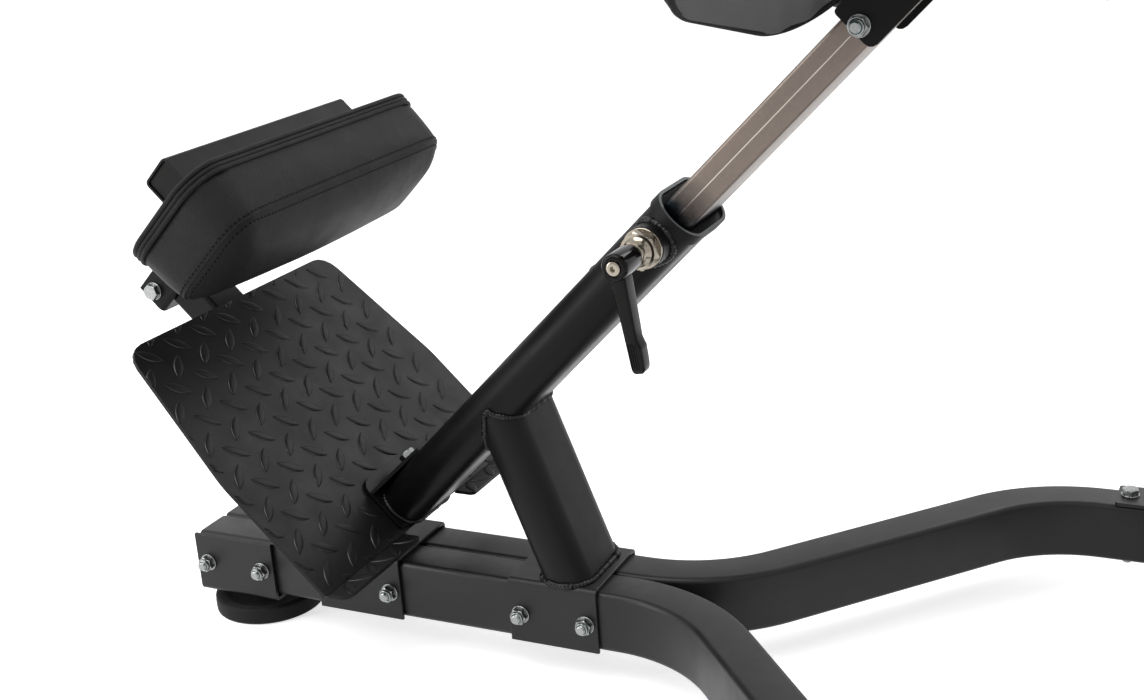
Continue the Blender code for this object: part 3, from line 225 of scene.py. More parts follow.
def clamp_place(along, p, q):
    """Places (along, p, q) about the clamp's axis, which runs out towards the near side."""
    along, p, q = np.broadcast_arrays(along, p, q)
    return np.stack((CLAMP[0] + p, -along, CLAMP[1] + q), -1)


def put(thing, **values):
    """Sets a thing's attributes by name."""
    for key, value in values.items():
        setattr(thing, key, value)
    return thing


def linked(name, data):
    """A new object in the scene."""
    made = bpy.data.objects.new(name, data)
    bpy.context.scene.collection.objects.link(made)
    return made


def modified(mesh, kind, **settings):
    """A mesh after one modifier, applied."""
    made = linked(mesh.name, mesh)
    put(made.modifiers.new("step", kind), **settings)
    graph = bpy.context.evaluated_depsgraph_get()
    result = bpy.data.meshes.new_from_object(made.evaluated_get(graph))
    bpy.data.objects.remove(made)
    return result


# Shapes as arrays

def angles(steps):
    """Even steps round a full turn."""
    return np.arange(steps) * 2 * np.pi / steps


def unit(ways):
    """Each way divided by its own length."""
    return ways / np.linalg.norm(ways, axis=-1, keepdims=True)


def rounded(width, height, radius, inset=0.0, steps=6):
    """A rectangle with quarter circles at its corners, drawn in by inset on every side."""
    angle = (np.arange(4)[:, None] + np.linspace(0, 1, steps + 1)) * np.pi / 2
    sign_x = np.array([1, -1, -1, 1])[:, None]
    sign_y = np.array([1, 1, -1, -1])[:, None]
    r = max(radius - inset, 0.0001)
    x = sign_x * (width / 2 - inset - r) + r * np.cos(angle)
    y = sign_y * (height / 2 - inset - r) + r * np.sin(angle)
    return np.stack((x, y), -1).reshape(-1, 2)


def oval(width, height, inset=0.0, steps=20):
    """Flat long sides joined by half circles, drawn in by inset."""
    return rounded(width, height, min(width, height) / 2 - 1e-6, inset, steps)


def at_height(outline, z):
    """A flat outline as points at one height."""
    return np.concatenate((outline, np.full((len(outline), 1), z)), 1)


def rim(at, into, radius, count=3):
    """A quarter circle of (along, inset) pairs from an end face at `at` round to the side."""
    turn = np.linspace(0, np.pi / 2, count + 1)
    return [(at + into * radius * (1 - math.cos(t)), radius * (1 - math.sin(t))) for t in turn]


def wall_stations(low, high, wall, radius):
    """(along, inset) pairs round a tube's wall: up the outside and down the inside."""
    return (rim(low, 1, radius) + rim(high, -1, radius)[::-1]
            + [(high, wall - radius), (high - radius, wall), (low + radius, wall),
               (low, wall - radius)])


def slope_grid(rows):
    """Outlines at their distances along the slope, first axis across and second out of it."""
    return np.stack([incline(s, outline[:, 0], outline[:, 1]) for s, outline in rows])


def spin(place, along, radius, turn, twist=0.0):
    """Points at each distance along an axis and each turn about it."""
    return place(along + 0 * turn, radius * np.cos(turn + twist), radius * np.sin(turn + twist))


def turned(profile, place, steps=48):
    """A profile of (along, radius) pairs spun about an axis, as a grid for place(along, p, q)."""
    profile = np.asarray(profile, float)
    return spin(place, profile[:, :1], profile[:, 1:], angles(steps))


def disc(low, high, inner, outer, edge=0.0004, ease=0.0004):
    """The profile of a flat ring with eased outer edges."""
    return [(low, inner), (low, outer - ease), (low + edge, outer), (high - edge, outer),
            (high, outer - ease), (high, inner)]


def hex_radius(turn, across):
    """Distance from a hexagon's middle to its side at each angle."""
    return across / 2 / np.cos((turn + np.pi / 6) % (np.pi / 3) - np.pi / 6)


def hex_grid(across, low, high, place, chamfer=0.0009, twist=0.0, steps=48):
    """A hexagonal prism with its ends cut by a cone: at each angle the lesser of two radii."""
    turn = angles(steps)
    along = np.array([low, low + chamfer * 0.5, low + chamfer, high - chamfer,
                      high - chamfer * 0.5, high])[:, None]
    cone = across / 2 * 1.155 - np.array([1.0, 0.5, 0, 0, 0.5, 1.0])[:, None] * chamfer * 1.5
    return spin(place, along, np.minimum(hex_radius(turn, across), cone), turn, twist)


def thread_grid(radius, low, high, place, depth=0.0005, pitch=0.0015, steps=24):
    """A screw thread: the radius falls and rises with height less the turn's share of a pitch."""
    turn = angles(steps)
    along = np.linspace(low, high, max(3, int((high - low) / pitch * 6) + 1))[:, None]
    phase = (along / pitch - turn[None] / (2 * np.pi)) * 2 * np.pi
    ends = np.clip(np.minimum(along - low, high - along) / 0.0006, 0, 1)
    wave = radius - depth * (0.5 + 0.5 * np.cos(phase)) - depth * (1 - ends)
    return spin(place, along, wave, turn)


def evenly(path, pitch):
    """Points a set pitch apart round a closed path, and how far round it each one lies."""
    ring = np.concatenate((path, path[:1]))
    length = np.concatenate(([0], np.cumsum(np.linalg.norm(np.diff(ring, axis=0), axis=1))))
    at = np.linspace(0, length[-1], max(12, int(length[-1] / pitch)), endpoint=False)
    return np.stack([np.interp(at, length, side) for side in ring.T], -1), at


def ahead_of(line):
    """The way that a closed line runs at each of its points."""
    return unit(np.roll(line, -1, 0) - np.roll(line, 1, 0))


def hoops(line, side, lift, size, sides):
    """Round sections along a line: size times the turn's cosine sideways and its sine upwards."""
    turn = angles(sides)[:, None]
    return line[..., None, :] + np.asarray(size)[..., None, None] * (
        np.cos(turn) * side[..., None, :] + np.sin(turn) * lift[..., None, :])


def cord_grid(line, radius, sides, up=(0, 0, 1.0)):
    """A round section carried along a closed line."""
    ahead = ahead_of(line)
    side = unit(np.cross(ahead, up))
    return hoops(line, side, np.cross(side, ahead), radius, sides)


def bead(path, radius, seed):
    """A weld bead: a small round section along a path, its radius rippling as the arc advanced."""
    line, at = evenly(path, 0.0011)
    rough = np.random.default_rng(seed).normal(0, 1, len(line) + 8)
    wander = np.convolve(rough, np.ones(9) / 9, "valid")[:len(line)]
    size = radius * (1 + 0.16 * np.cos(2 * np.pi * at / 0.0036) + 0.35 * wander)
    return cord_grid(line, size, 10, (0.3, 0.2, 0.93))


def grid_faces(rows, columns, wrap_rows, first):
    """Quads of a grid closed across: cell (i, j) joins its corner to the next row and column."""
    i, j = np.meshgrid(np.arange(rows if wrap_rows else rows - 1), np.arange(columns),
                       indexing="ij")
    i2, j2 = (i + 1) % rows, (j + 1) % columns
    quads = np.stack((i * columns + j, i * columns + j2, i2 * columns + j2, i2 * columns + j), -1)
    return (quads.reshape(-1, 4) + first).tolist()


class Shell:
    """Grids of points gathered into one mesh, each with its own finish."""

    def __init__(self):
        self.points, self.faces, self.finish, self.count = [], [], [], 0

    def grid(self, points, wrap_rows=False, capped=True, finish=0):
        """Adds a (rows, columns, 3) grid. A capped grid has its first and last row filled."""
        rows, columns = points.shape[:2]
        faces = grid_faces(rows, columns, wrap_rows, self.count)
        if capped and not wrap_rows:
            faces.append([self.count + j for j in range(columns)][::-1])
            faces.append([self.count + (rows - 1) * columns + j for j in range(columns)])
        self.points.append(points.reshape(-1, 3))
        self.faces += faces
        self.finish += finish if isinstance(finish, list) else [finish] * len(faces)
        self.count += rows * columns
        return self

    def mesh(self, name, sharp=32.0, merge=0.000002):
        """The mesh: doubles and poles merged, faces turned outwards, edges sharp past an angle."""
        mesh = bpy.data.meshes.new(name)
        mesh.from_pydata(np.concatenate(self.points).tolist(), [], self.faces)
        mesh.polygons.foreach_set("material_index", self.finish)
        shape = bmesh.new()
        shape.from_mesh(mesh)
        bmesh.ops.remove_doubles(shape, verts=shape.verts, dist=merge)
        bmesh.ops.recalc_face_normals(shape, faces=shape.faces)
        shape.to_mesh(mesh)
        shape.free()
        mesh.shade_smooth()
        mesh.set_sharp_from_angle(angle=math.radians(sharp))
        return mesh


def vectors(items, key):
    """One vector of every item of a mesh, as rows."""
    flat = np.empty(len(items) * 3, np.float32)
    items.foreach_get(key, flat)
    return flat.reshape(-1, 3).astype(float)


def move_to(mesh, points):
    """Puts a mesh's points at the rows of an array."""
    mesh.vertices.foreach_set("co", points.astype(np.float32).ravel())
    mesh.update()


def piece(name, made_of, looks, nodes="", body="frame", sharp=32.0,
          matrix=None):
    """Puts a mesh in the scene with its finishes, its body and the nodes it stands for.

    The finishes and the nodes are names in one string. A matrix puts the mesh's points first."""
    mesh = made_of.mesh(name, sharp) if isinstance(made_of, Shell) else made_of
    if matrix is not None:
        move_to(mesh, placed(matrix, vectors(mesh.vertices, "co")))
    looks = looks.split()
    places = np.empty(len(mesh.polygons), np.int32)
    mesh.polygons.foreach_get("material_index", places)
    mesh.materials.clear()
    for look in looks:
        mesh.materials.append(LOOKS[look])
    mesh.polygons.foreach_set("material_index", np.minimum(places, len(looks) - 1))
    made = linked(name, mesh)
    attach(made, body)
    if nodes:
        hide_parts(*nodes.split())
    return made


# Finishes

LOOKS = {}


def fill(tree, made, sockets):
    """Links or sets a node's inputs, by index or name."""
    for key, value in sockets:
        if isinstance(value, bpy.types.NodeSocket):
            tree.links.new(value, made.inputs[key])
        else:
            made.inputs[key].default_value = value


def node(tree, kind, sockets=(), **values):
    """Adds a shader node, sets its properties and fills its inputs."""
    made = put(tree.nodes.new("ShaderNode" + kind), **values)
    fill(tree, made, sockets)
    return made


def reckon(tree, operation, *values, kind="Math"):
    """The result of one Math node, or with kind of one Vector Math node."""
    return node(tree, kind, enumerate(values), operation=operation).outputs[0]


def noise(tree, where, scale, detail, roughness=0.5, out=0):
    """A noise texture's value, or another of its outputs."""
    return node(tree, "TexNoise", [("Vector", where), ("Scale", scale), ("Detail", detail),
                                   ("Roughness", roughness)]).outputs[out]


def mixed(tree, factor, first, second):
    """A colour that runs from the first to the second as the factor goes from 0 to 1."""
    return node(tree, "Mix", [("Factor", factor), ("A", first), ("B", second)],
                data_type="RGBA").outputs["Result"]


def tint(tree, base, dark, light, factor):
    """A colour that runs from dark to light times the base as the factor goes from 0 to 1."""
    return mixed(tree, factor, (*(c * dark for c in base), 1),
                 (*(min(1.0, c * light) for c in base), 1))


def spread(tree, value, low, high, start=0.3, end=0.7):
    """A value mapped from start..end to low..high."""
    return node(tree, "MapRange", enumerate((value, start, end, low, high))).outputs[0]


def group(name, inputs, *outputs):
    """An empty shader node group: inputs by name with a default, or None for a vector."""
    tree = bpy.data.node_groups.new(name, "ShaderNodeTree")
    for label, value in inputs.items():
        kind = "NodeSocketVector" if value is None else "NodeSocketFloat"
        socket = tree.interface.new_socket(label, in_out="INPUT", socket_type=kind)
        if value is not None:
            socket.default_value = value
    for label in outputs:
        tree.interface.new_socket(label, in_out="OUTPUT", socket_type="NodeSocketFloat")
    return tree, tree.nodes.new("NodeGroupInput").outputs, tree.nodes.new("NodeGroupOutput")


def grain_group(name):
    """Leather grain: the gaps between cells, and finer pores, as a height and a shade."""
    tree, into, out = group(name, {"Vector": None, "Scale": 700.0}, "Height", "Shade")
    warp = reckon(tree, "MULTIPLY", noise(tree, into[0], 160.0, 2.0, out="Color"),
                  (0.0016,) * 3, kind="VectorMath")
    moved = reckon(tree, "ADD", into[0], warp, kind="VectorMath")
    cells = node(tree, "TexVoronoi", [("Vector", moved), ("Scale", into[1])],
                 feature="DISTANCE_TO_EDGE")
    gaps = spread(tree, cells.outputs["Distance"], 0.0, 1.0, 0.0, 0.22)
    height = reckon(tree, "MULTIPLY_ADD", noise(tree, into[0], 2600.0, 2.0), 0.28, gaps)
    fill(tree, out, enumerate((height, noise(tree, into[0], 38.0, 4.0, 0.6))))
    return tree


def mottle_group(name):
    """Orange peel and cloudiness of a sprayed or moulded surface, as a height and a shade."""
    tree, into, out = group(name, {"Vector": None, "Scale": 900.0}, "Height", "Shade")
    fill(tree, out, enumerate((noise(tree, into[0], into[1], 3.0),
                               noise(tree, into[0], 24.0, 5.0, 0.62))))
    return tree


def brushed_group(name):
    """Fine lines along one direction, with longer scuffs among them."""
    tree, into, out = group(name, {"Vector": None, "Scuffs": 0.5}, "Lines", "Marks")
    marks = spread(tree, noise(tree, into[0], 0.13, 6.0, 0.75), 0.0, 1.0, 0.50, 0.72)
    fill(tree, out, enumerate((noise(tree, into[0], 1.0, 4.0, 0.7),
                               reckon(tree, "MULTIPLY", marks, into[1]))))
    return tree


def dust_group(name):
    """Thin dust: more where the surface faces up, broken by noise."""
    tree, into, out = group(name, {"Vector": None, "Normal": None, "Amount": 0.1}, "Mask")
    parts = node(tree, "SeparateXYZ", [(0, into[1])])
    up = spread(tree, parts.outputs[2], 0.15, 1.0, 0.3, 1.0)
    patch = spread(tree, noise(tree, into[0], 55.0, 8.0, 0.75), 0.0, 1.0, 0.42, 0.75)
    both = reckon(tree, "MULTIPLY", up, patch)
    fill(tree, out, [(0, reckon(tree, "MULTIPLY", both, into[2]))])
    return tree


def placed_group(tree, name, maker, **sockets):
    """Places a shared node group in a material, building it the first time."""
    shared = bpy.data.node_groups.get(name) or maker(name)
    return node(tree, "Group", sockets.items(), node_tree=shared).outputs


def cleared(owner):
    """The empty node tree of a material or a world."""
    owner.use_nodes = True
    owner.node_tree.nodes.clear()
    return owner.node_tree


def shader(name, base, low, metallic=0.0, **sockets):
    """A material with its Principled shader, object coordinates and constants on its sockets."""
    material = bpy.data.materials.new(name)
    tree = cleared(material)
    surface = node(tree, "BsdfPrincipled", [
        ("Base Color", (*base, 1)), ("Roughness", low), ("Metallic", metallic),
        *((key.replace("_", " "), value) for key, value in sockets.items())])
    node(tree, "OutputMaterial", [(0, surface.outputs[0])])
    return material, tree, surface, node(tree, "TexCoord").outputs["Object"]


def dress(tree, surface, shade, rough, height, strength, reach):
    """Gives the shader its colour, its roughness and its relief."""
    bump = node(tree, "Bump", [("Height", height), ("Strength", strength), ("Distance", reach)])
    fill(tree, surface, [("Base Color", shade), ("Roughness", rough),
                         ("Normal", bump.outputs[0])])


def moulded(name, base, low, high, specular, dark=0.85, light=1.2, scale=900.0, strength=0.25,
            reach=0.0002, dusty=0.0, texture=("mottle", mottle_group), **sockets):
    """A sprayed, moulded or coated finish: mottled colour and roughness, relief, a little dust."""
    material, tree, surface, where = shader(name, base, low, Specular_IOR_Level=specular,
                                            **sockets)
    marks = placed_group(tree, *texture, Vector=where, Scale=scale)
    shade = tint(tree, base, dark, light, marks["Shade"])
    if dusty:
        facing = node(tree, "NewGeometry").outputs["Normal"]
        mask = placed_group(tree, "dust", dust_group, Vector=where, Normal=facing, Amount=dusty)
        shade = mixed(tree, mask[0], shade, (0.20, 0.19, 0.18, 1))
    dress(tree, surface, shade, spread(tree, marks["Shade"], low, high), marks["Height"],
          strength, reach)
    return material


def leatherette(name, base, low, high, specular, scale=700.0):
    """Coated cloth: grain in relief, with cloudy colour and roughness."""
    return moulded(name, base, low, high, specular, 0.75, 1.3, scale, 0.55, 0.00035,
                   texture=("cover_grain", grain_group))


def rubbed_mask(tree, where):
    """Grime rubbed on to the post at the collar: it fades up the slope and breaks into streaks.

    The distance up the slope is the dot product of a place with the slope's direction."""
    up = node(tree, "VectorMath", enumerate((where, (ROOT_HALF, 0, ROOT_HALF))),
              operation="DOT_PRODUCT").outputs["Value"]
    near = reckon(tree, "MINIMUM", spread(tree, up, 1.25, 0.0, 0.402, 0.446),
                  spread(tree, up, 0.0, 1.25, 0.340, 0.398))
    squeezed = node(tree, "Mapping", [("Vector", where), ("Scale", (60, 260, 60))])
    streaks = noise(tree, squeezed.outputs[0], 1.0, 6.0, 0.7)
    return reckon(tree, "MULTIPLY", near, spread(tree, streaks, 0.72, 1.0, 0.38, 0.60))


def drawn_metal(name, base, low, high, stretch, scuffs=0.15, strength=0.12, dark=0.8,
                on_post=False):
    """Metal with lines along one direction: the coordinates are squeezed across that direction.

    On the post they are first turned to lie along the slope, and it is rubbed at its collar."""
    material, tree, surface, where = shader(name, base, low, 1.0)
    settings = [("Vector", where), ("Scale", stretch)]
    if on_post:
        settings = [("Vector", where), ("Rotation", (0, -math.pi / 4, 0)),
                    ("Scale", tuple(1 / v for v in stretch))]
    mapping = node(tree, "Mapping", settings, vector_type="TEXTURE" if on_post else "POINT")
    marks = placed_group(tree, "brushed", brushed_group, Vector=mapping.outputs[0],
                         Scuffs=scuffs)
    finish = mixed(tree, marks["Marks"], tint(tree, base, dark, 1.12, marks["Lines"]),
                   (*(c * 0.5 for c in base), 1))
    if on_post:
        finish = mixed(tree, rubbed_mask(tree, where), finish, (0.010, 0.013, 0.016, 1))
    dress(tree, surface, finish, spread(tree, marks["Lines"], low, high), marks["Lines"],
          strength, 0.0002)
    return material


def make_looks(colours):
    """Every finish of the bench, by its name."""
    coat = colours.coat
    satin = {"scale": 1300.0, "strength": 0.10, "reach": 0.00012}
    LOOKS.update(
        coat=moulded("powder_coat", coat, 0.36, 0.46, 0.31, dusty=0.03, **satin),
        # A lighter copy of the coat on the lenses' flanks: a painted highlight along their edges.
        tread_edge=moulded("tread_edge", [c * 3.2 for c in coat], 0.24, 0.36, 0.42, scale=1000.0,
                           strength=0.10, reach=0.00012),
        # A darker, less reflective copy of the coat for the tubes and what they carry: painted
        # shade.
        tube_coat=moulded("tube_coat", [c * 0.7 for c in coat], 0.34, 0.44, 0.11, dusty=0.02,
                          **satin),
        plate_coat=moulded("plate_coat", coat, 0.40, 0.52, 0.15, scale=1000.0, strength=0.16,
                           reach=0.00018, dusty=0.02),
        bead=moulded("weld_bead", coat, 0.22, 0.40, 0.24, scale=500.0, strength=0.5,
                     reach=0.0004),
        zinc=drawn_metal("zinc_plate", colours.zinc, 0.22, 0.36, (420, 420, 420), 0.25),
        nickel=drawn_metal("nickel_plate", colours.nickel, 0.14, 0.24, (300, 900, 300),
                           strength=0.05, dark=0.85),
        aluminium=drawn_metal("satin_aluminium", colours.aluminium, 0.34, 0.48, (420, 560, 560),
                              strength=0.10, dark=0.72, on_post=True),
        # A lighter metal for the post's grooves: a painted highlight line down each narrow side.
        bright_line=drawn_metal("bright_line", (0.50, 0.45, 0.41), 0.25, 0.35, (14, 900, 900),
                                0.1, on_post=True),
        insert=moulded("nut_insert", colours.insert, 0.35, 0.5, 0.5),
        gloss=moulded("gloss_black", colours.gloss, 0.10, 0.16, 0.10, scale=500.0, strength=0.04,
                      reach=0.0001, Coat_Weight=0.05, Coat_Roughness=0.05),
        rubber=moulded("rubber", colours.rubber, 0.62, 0.78, 0.15, scale=1600.0, strength=0.3,
                       dusty=0.08),
        plastic=moulded("matt_plastic", colours.plastic, 0.48, 0.6, 0.12, scale=1500.0,
                        strength=0.3),
        dark_plastic=moulded("dark_plastic", (0.0040, 0.0036, 0.0033), 0.40, 0.55, 0.12,
                             scale=1500.0),
        # A lighter grey plastic for the collar's end face: a painted highlight on its rim.
        worn_plastic=moulded("worn_plastic", (0.085, 0.092, 0.096), 0.45, 0.6, 0.28, 0.35, 1.6,
                             strength=0.4),
        cover=leatherette("pad_cover", colours.cover, 0.46, 0.56, 0.15),
        # Board cover: its grey colour is a painted sheen over black.
        backing=leatherette("board_backing", colours.backing, 0.50, 0.66, 0.25, 900.0),
        thread=moulded("thread", colours.thread, 0.7, 0.85, 0.10, scale=3500.0, strength=0.5),
        trim=moulded("edge_trim", colours.thread, 0.55, 0.7, 0.20, 1.0, 3.0, 1100.0, 0.8,
                     0.0006))


# Base

def leg_line():
    """The leg's middle line with its ways across: straight, arc, straight, arc, straight.

    On an arc the distance across grows with 1 - cos of the turn, and the distance along with
    its sine; the line between the two arcs keeps the full turn."""
    first, second = LEG_RADII
    turn = np.linspace(0, LEG_BEND, 17)
    back = turn[::-1]
    rise = (first + second) * (1 - math.cos(LEG_BEND))
    run = (LEG_SPREAD - LEG_Y - rise) / math.tan(LEG_BEND)
    end_x = LEG_BEND_X + (first + second) * math.sin(LEG_BEND) + run
    line = np.concatenate((
        [[LEG_REAR_X, LEG_Y], [LEG_REAR_X + 0.002, LEG_Y]],
        np.stack((LEG_BEND_X + first * np.sin(turn), LEG_Y + first * (1 - np.cos(turn))), -1),
        np.stack((end_x - second * np.sin(back), LEG_SPREAD - second * (1 - np.cos(back))), -1),
        [[LEG_END_X - 0.002, LEG_SPREAD], [LEG_END_X, LEG_SPREAD]]))
    return line, np.concatenate((np.zeros(2), turn, back, np.zeros(2)))


def make_leg(name, side):
    """The rounded rectangle of the tube carried along the leg's line, with its ends eased in.

    The outer outline goes there and the inner one, a wall further in, comes back. Each row is
    the line's point plus the outline's first axis across and its second up."""
    width, height, corner = LEG_SIZE
    line, heading = leg_line()
    insets = np.repeat((0, LEG_WALL), len(line))
    insets[[0, len(line) - 1]] = 0.0008
    line, heading = (np.concatenate((v, v[::-1])) for v in (line, heading))
    outline = np.stack([rounded(width, height, corner, i, 5) for i in insets])
    path = base_point(line[:, 0], side * line[:, 1], BASE_BOTTOM + height / 2)
    across = np.stack((-np.sin(heading), side * np.cos(heading), 0 * heading), -1)
    grid = (path[:, None] + outline[..., :1] * across[:, None]
            + outline[..., 1:] * np.array([0.0, 0.0, 1.0]))
    piece(name, Shell().grid(grid, wrap_rows=True), "coat", name.replace("_tube", ""))


def make_foot(node_name, x, y):
    """A rubber disc turned from its profile: a slightly full side and a dished top."""
    height = np.linspace(0.0022, 0.0172, 9)
    edge = [(h, 0.0645 + 0.0003 * math.sin((h - 0.0022) / 0.015 * math.pi)) for h in height]
    profile = ([(0, 0.0001), (0, 0.060), (0.0005, 0.0628), (0.0013, 0.0642)] + edge
               + [(0.0185, 0.0640), (0.0195, 0.0628), (0.0200, 0.0600), (0.0199, 0.0555),
                  (0.0190, 0.0525), (0.0160, 0.0500), (0.0130, 0.0480), (0.0121, 0.0450),
                  (0.0120, 0.0053), (0.0056, 0.0052), (0.0055, 0.0001)])
    piece(node_name + "_disc", Shell().grid(turned(profile, standing(x, y), 96)), "rubber",
          node_name, sharp=40)


def make_stem(node_name, x, y, seat):
    """A levelling stem: a threaded rod with a flange at the rubber and a nut under the steel."""
    place = standing(x, y)
    shell = Shell().grid(thread_grid(0.005, 0.0059, seat + 0.0034, place, 0.0004))
    shell.grid(turned([(0.0123, 0.004), (0.0123, 0.0136), (0.0127, 0.0140), (0.0145, 0.0140),
                       (0.0150, 0.0134), (0.0150, 0.004)], place))
    shell.grid(hex_grid(BOLT["hex"], seat - 0.0073, seat - 0.0003, place, twist=0.3))
    piece(node_name + "_thread", shell, "zinc", node_name)


# Fasteners

def bolt_shell(grip, nut, ring, place, twist):
    """Head, washers, nut, insert and thread end of one bolt, along the axis that place gives.

    The head lies on the positive side of the grip and the nut on the negative side."""
    half = grip / 2
    top = half + BOLT["sheet"]
    under = -half - BOLT["sheet"]
    crown = top + BOLT["head"]
    low = under - nut
    shell = Shell()
    for start, end in ((half, top), (under, -half)):
        shell.grid(turned(disc(start, end, 0.0049, BOLT["washer"]), place))
    shell.grid(hex_grid(BOLT["hex"], top, crown, place, twist=twist))
    shell.grid(turned([(crown - 0.0002, 0.0001), (crown + 0.0001, 0.0068),
                       (crown - 0.0006, 0.0072)], place, 32))
    shell.grid(hex_grid(BOLT["hex"], low, under, place, twist=twist + 0.5))
    if ring:
        shell.grid(turned([(low + 0.0005, 0.0075), (low - ring * 0.55, 0.0074),
                           (low - ring * 0.9, 0.0068), (low - ring, 0.0061),
                           (low - ring * 0.94, 0.0057), (low - ring * 0.6, 0.0056),
                           (low + 0.0005, 0.0056)], place), wrap_rows=True)
        shell.grid(turned([(low + 0.0004, 0.0056), (low - ring * 0.78, 0.0056),
                           (low - ring * 0.84, 0.0050), (low + 0.0004, 0.0049)], place),
                   wrap_rows=True, finish=1)
    shell.grid(thread_grid(BOLT["shaft"], low - ring - BOLT["end"], under, place))
    return shell.grid(turned([(under, 0.0048), (half, 0.0048)], place, 24))


def make_bolt(node_name, grip, origin, axis, twist, nut=BOLT["nut"], ring=BOLT["ring"],
              body="frame"):
    """One bolt about a world point, with its head towards the axis."""
    axis = np.array(axis, float)
    first = np.array([1.0, 0, 0])
    second = np.cross(axis, first)

    def place(along, p, q):
        return origin + along[..., None] * axis + p[..., None] * first + q[..., None] * second

    piece(node_name + "_set", bolt_shell(grip, nut, ring, place, twist), "zinc insert", node_name,
          body)


def make_bolts():
    """Every through bolt: across the base and the two brackets, and up through the tongues."""
    far, near, up = (0, 1, 0), (0, -1, 0), (0, 0, 1)
    places = {"rear_bolt_back": REAR_COVER_X + 0.0157, "rear_bolt_front": REAR_COVER_X + 0.0910,
              "mid_bolt_back": MID_SADDLE_X - MID_SADDLE_LENGTH + SADDLE_BOLT_IN,
              "mid_bolt_front": MID_SADDLE_X - SADDLE_BOLT_IN,
              "strut_bolt_back": STRUT_SADDLE_X + SADDLE_BOLT_IN,
              "strut_bolt_front": -SADDLE_BOLT_IN}
    for index, (name, x) in enumerate(places.items()):
        make_bolt(name, 2 * SADDLE_OUTER, base_point(x, 0, BASE_BOTTOM + BASE_BOLT_UP), far,
                  0.4 + 0.7 * index)
    for side_name, side in (("right", -1), ("left", 1)):
        for index, x in enumerate(TONGUE_BOLT_X):
            middle = base_point(x, side * LEG_SPREAD, (SADDLE_TOP + BASE_BOTTOM) / 2)
            make_bolt(f"tongue_bolt_{side_name}_{index + 1}", SADDLE_TOP - BASE_BOTTOM, middle,
                      up, 0.2 + 0.9 * index, nut=0.0050, ring=0)
    for index, s in enumerate(CALF_BOLT_S):
        make_bolt(f"calf_bolt_{index + 1}", CALF_BOLT_GRIP, incline(s, 0, CALF_BOLT_W), near,
                  0.3 + index)
    for index, s in enumerate(HIP_BOLT_S):
        make_bolt(f"hip_bolt_{index + 1}", HIP_BOLT_GRIP, incline(s, 0, 0), far, 0.1 + index,
                  body="hip_carriage")


def make_tab_bolt():
    """The hex screw that holds the foot plate's tab to the sloping tube."""
    place, seat = on_slope(TAB_BOLT_S), 0.0316
    shell = Shell().grid(turned(disc(seat, seat + 0.0020, 0.0052, 0.01025, ease=0.00045), place))
    shell.grid(hex_grid(BOLT["hex"], seat + 0.002, seat + 0.0084, place, twist=0.25))
    shell.grid(turned([(seat + 0.0082, 0.0001), (seat + 0.0085, 0.0066),
                       (seat + 0.0078, 0.0072)], place, 32))
    shell.grid(thread_grid(0.0048, 0.0243, seat + 0.002, place, 0.0003))
    piece("tab_bolt_set", shell, "zinc", "tab_bolt")


# Sloping tube, strut and collar

def make_tube():
    """The oval tube: its wall's section closed round, from the foot plate's tab to the collar.

    The clamp screw's hole is taken out of it by a Boolean modifier that is applied here."""
    width, height, wall = TUBE
    grid = slope_grid([(s, oval(width, height, i))
                       for s, i in wall_stations(*TUBE_S, wall, 0.0005)])
    bore = turned([(width / 2 - 0.006, SCREW_BORE), (width / 2 + 0.003, SCREW_BORE)],
                  clamp_place, 32)
    cutter = linked("tube_bore", Shell().grid(bore).mesh("tube_bore"))
    mesh = modified(Shell().grid(grid, wrap_rows=True).mesh("tube_blank"), "BOOLEAN",
                    operation="DIFFERENCE", solver="EXACT", object=cutter)
    bpy.data.objects.remove(cutter)
    mesh.name = "sloping_tube"
    mesh.set_sharp_from_angle(angle=math.radians(32))
    # The tube takes the darker copy of the coat: painted shade.
    piece("sloping_tube", mesh, "tube_coat", "main_tube")


def make_collar():
    """The plastic collar on the tube's end: an oval lip, with the post's opening through it."""
    width, height, wall = TUBE
    low, high = COLLAR_S
    steps = 12

    def lip(extra):
        return oval(width + 2 * extra, height + 2 * extra, 0, steps)

    def opening(extra):
        across, out = (POST[k] + 0.0006 + 2 * extra for k in (0, 1))
        return rounded(across, out, POST[2] + extra, 0, steps)

    rows = [(low, lip(0.0016)), (low + 0.0004, lip(0.0023)), (low + 0.0012, lip(0.0025)),
            (high - 0.0007, lip(0.0024)), (high - 0.0002, lip(0.0021)), (high, lip(0.0016)),
            (high, lip(-0.0010)), (high - 0.0003, lip(-0.0014)), (high - 0.0022, lip(-0.0022)),
            (high - 0.0046, opening(0.0016)), (high - 0.0052, opening(0.0006)),
            (high - 0.0060, opening(0.0)), (low - 0.0107, opening(0.0)),
            (low - 0.0107, lip(-wall - 0.0004)), (low - 0.0004, lip(-wall - 0.0004))]
    mesh = Shell().grid(slope_grid(rows), wrap_rows=True).mesh("tube_collar", 30)
    # The end face takes the lighter plastic: a painted highlight on the rim.
    along = from_incline(vectors(mesh.polygons, "center"))[:, 0]
    mesh.polygons.foreach_set("material_index", (along > high - 0.0003).astype(np.int32))
    piece("tube_collar", mesh, "plastic worn_plastic", "collar")


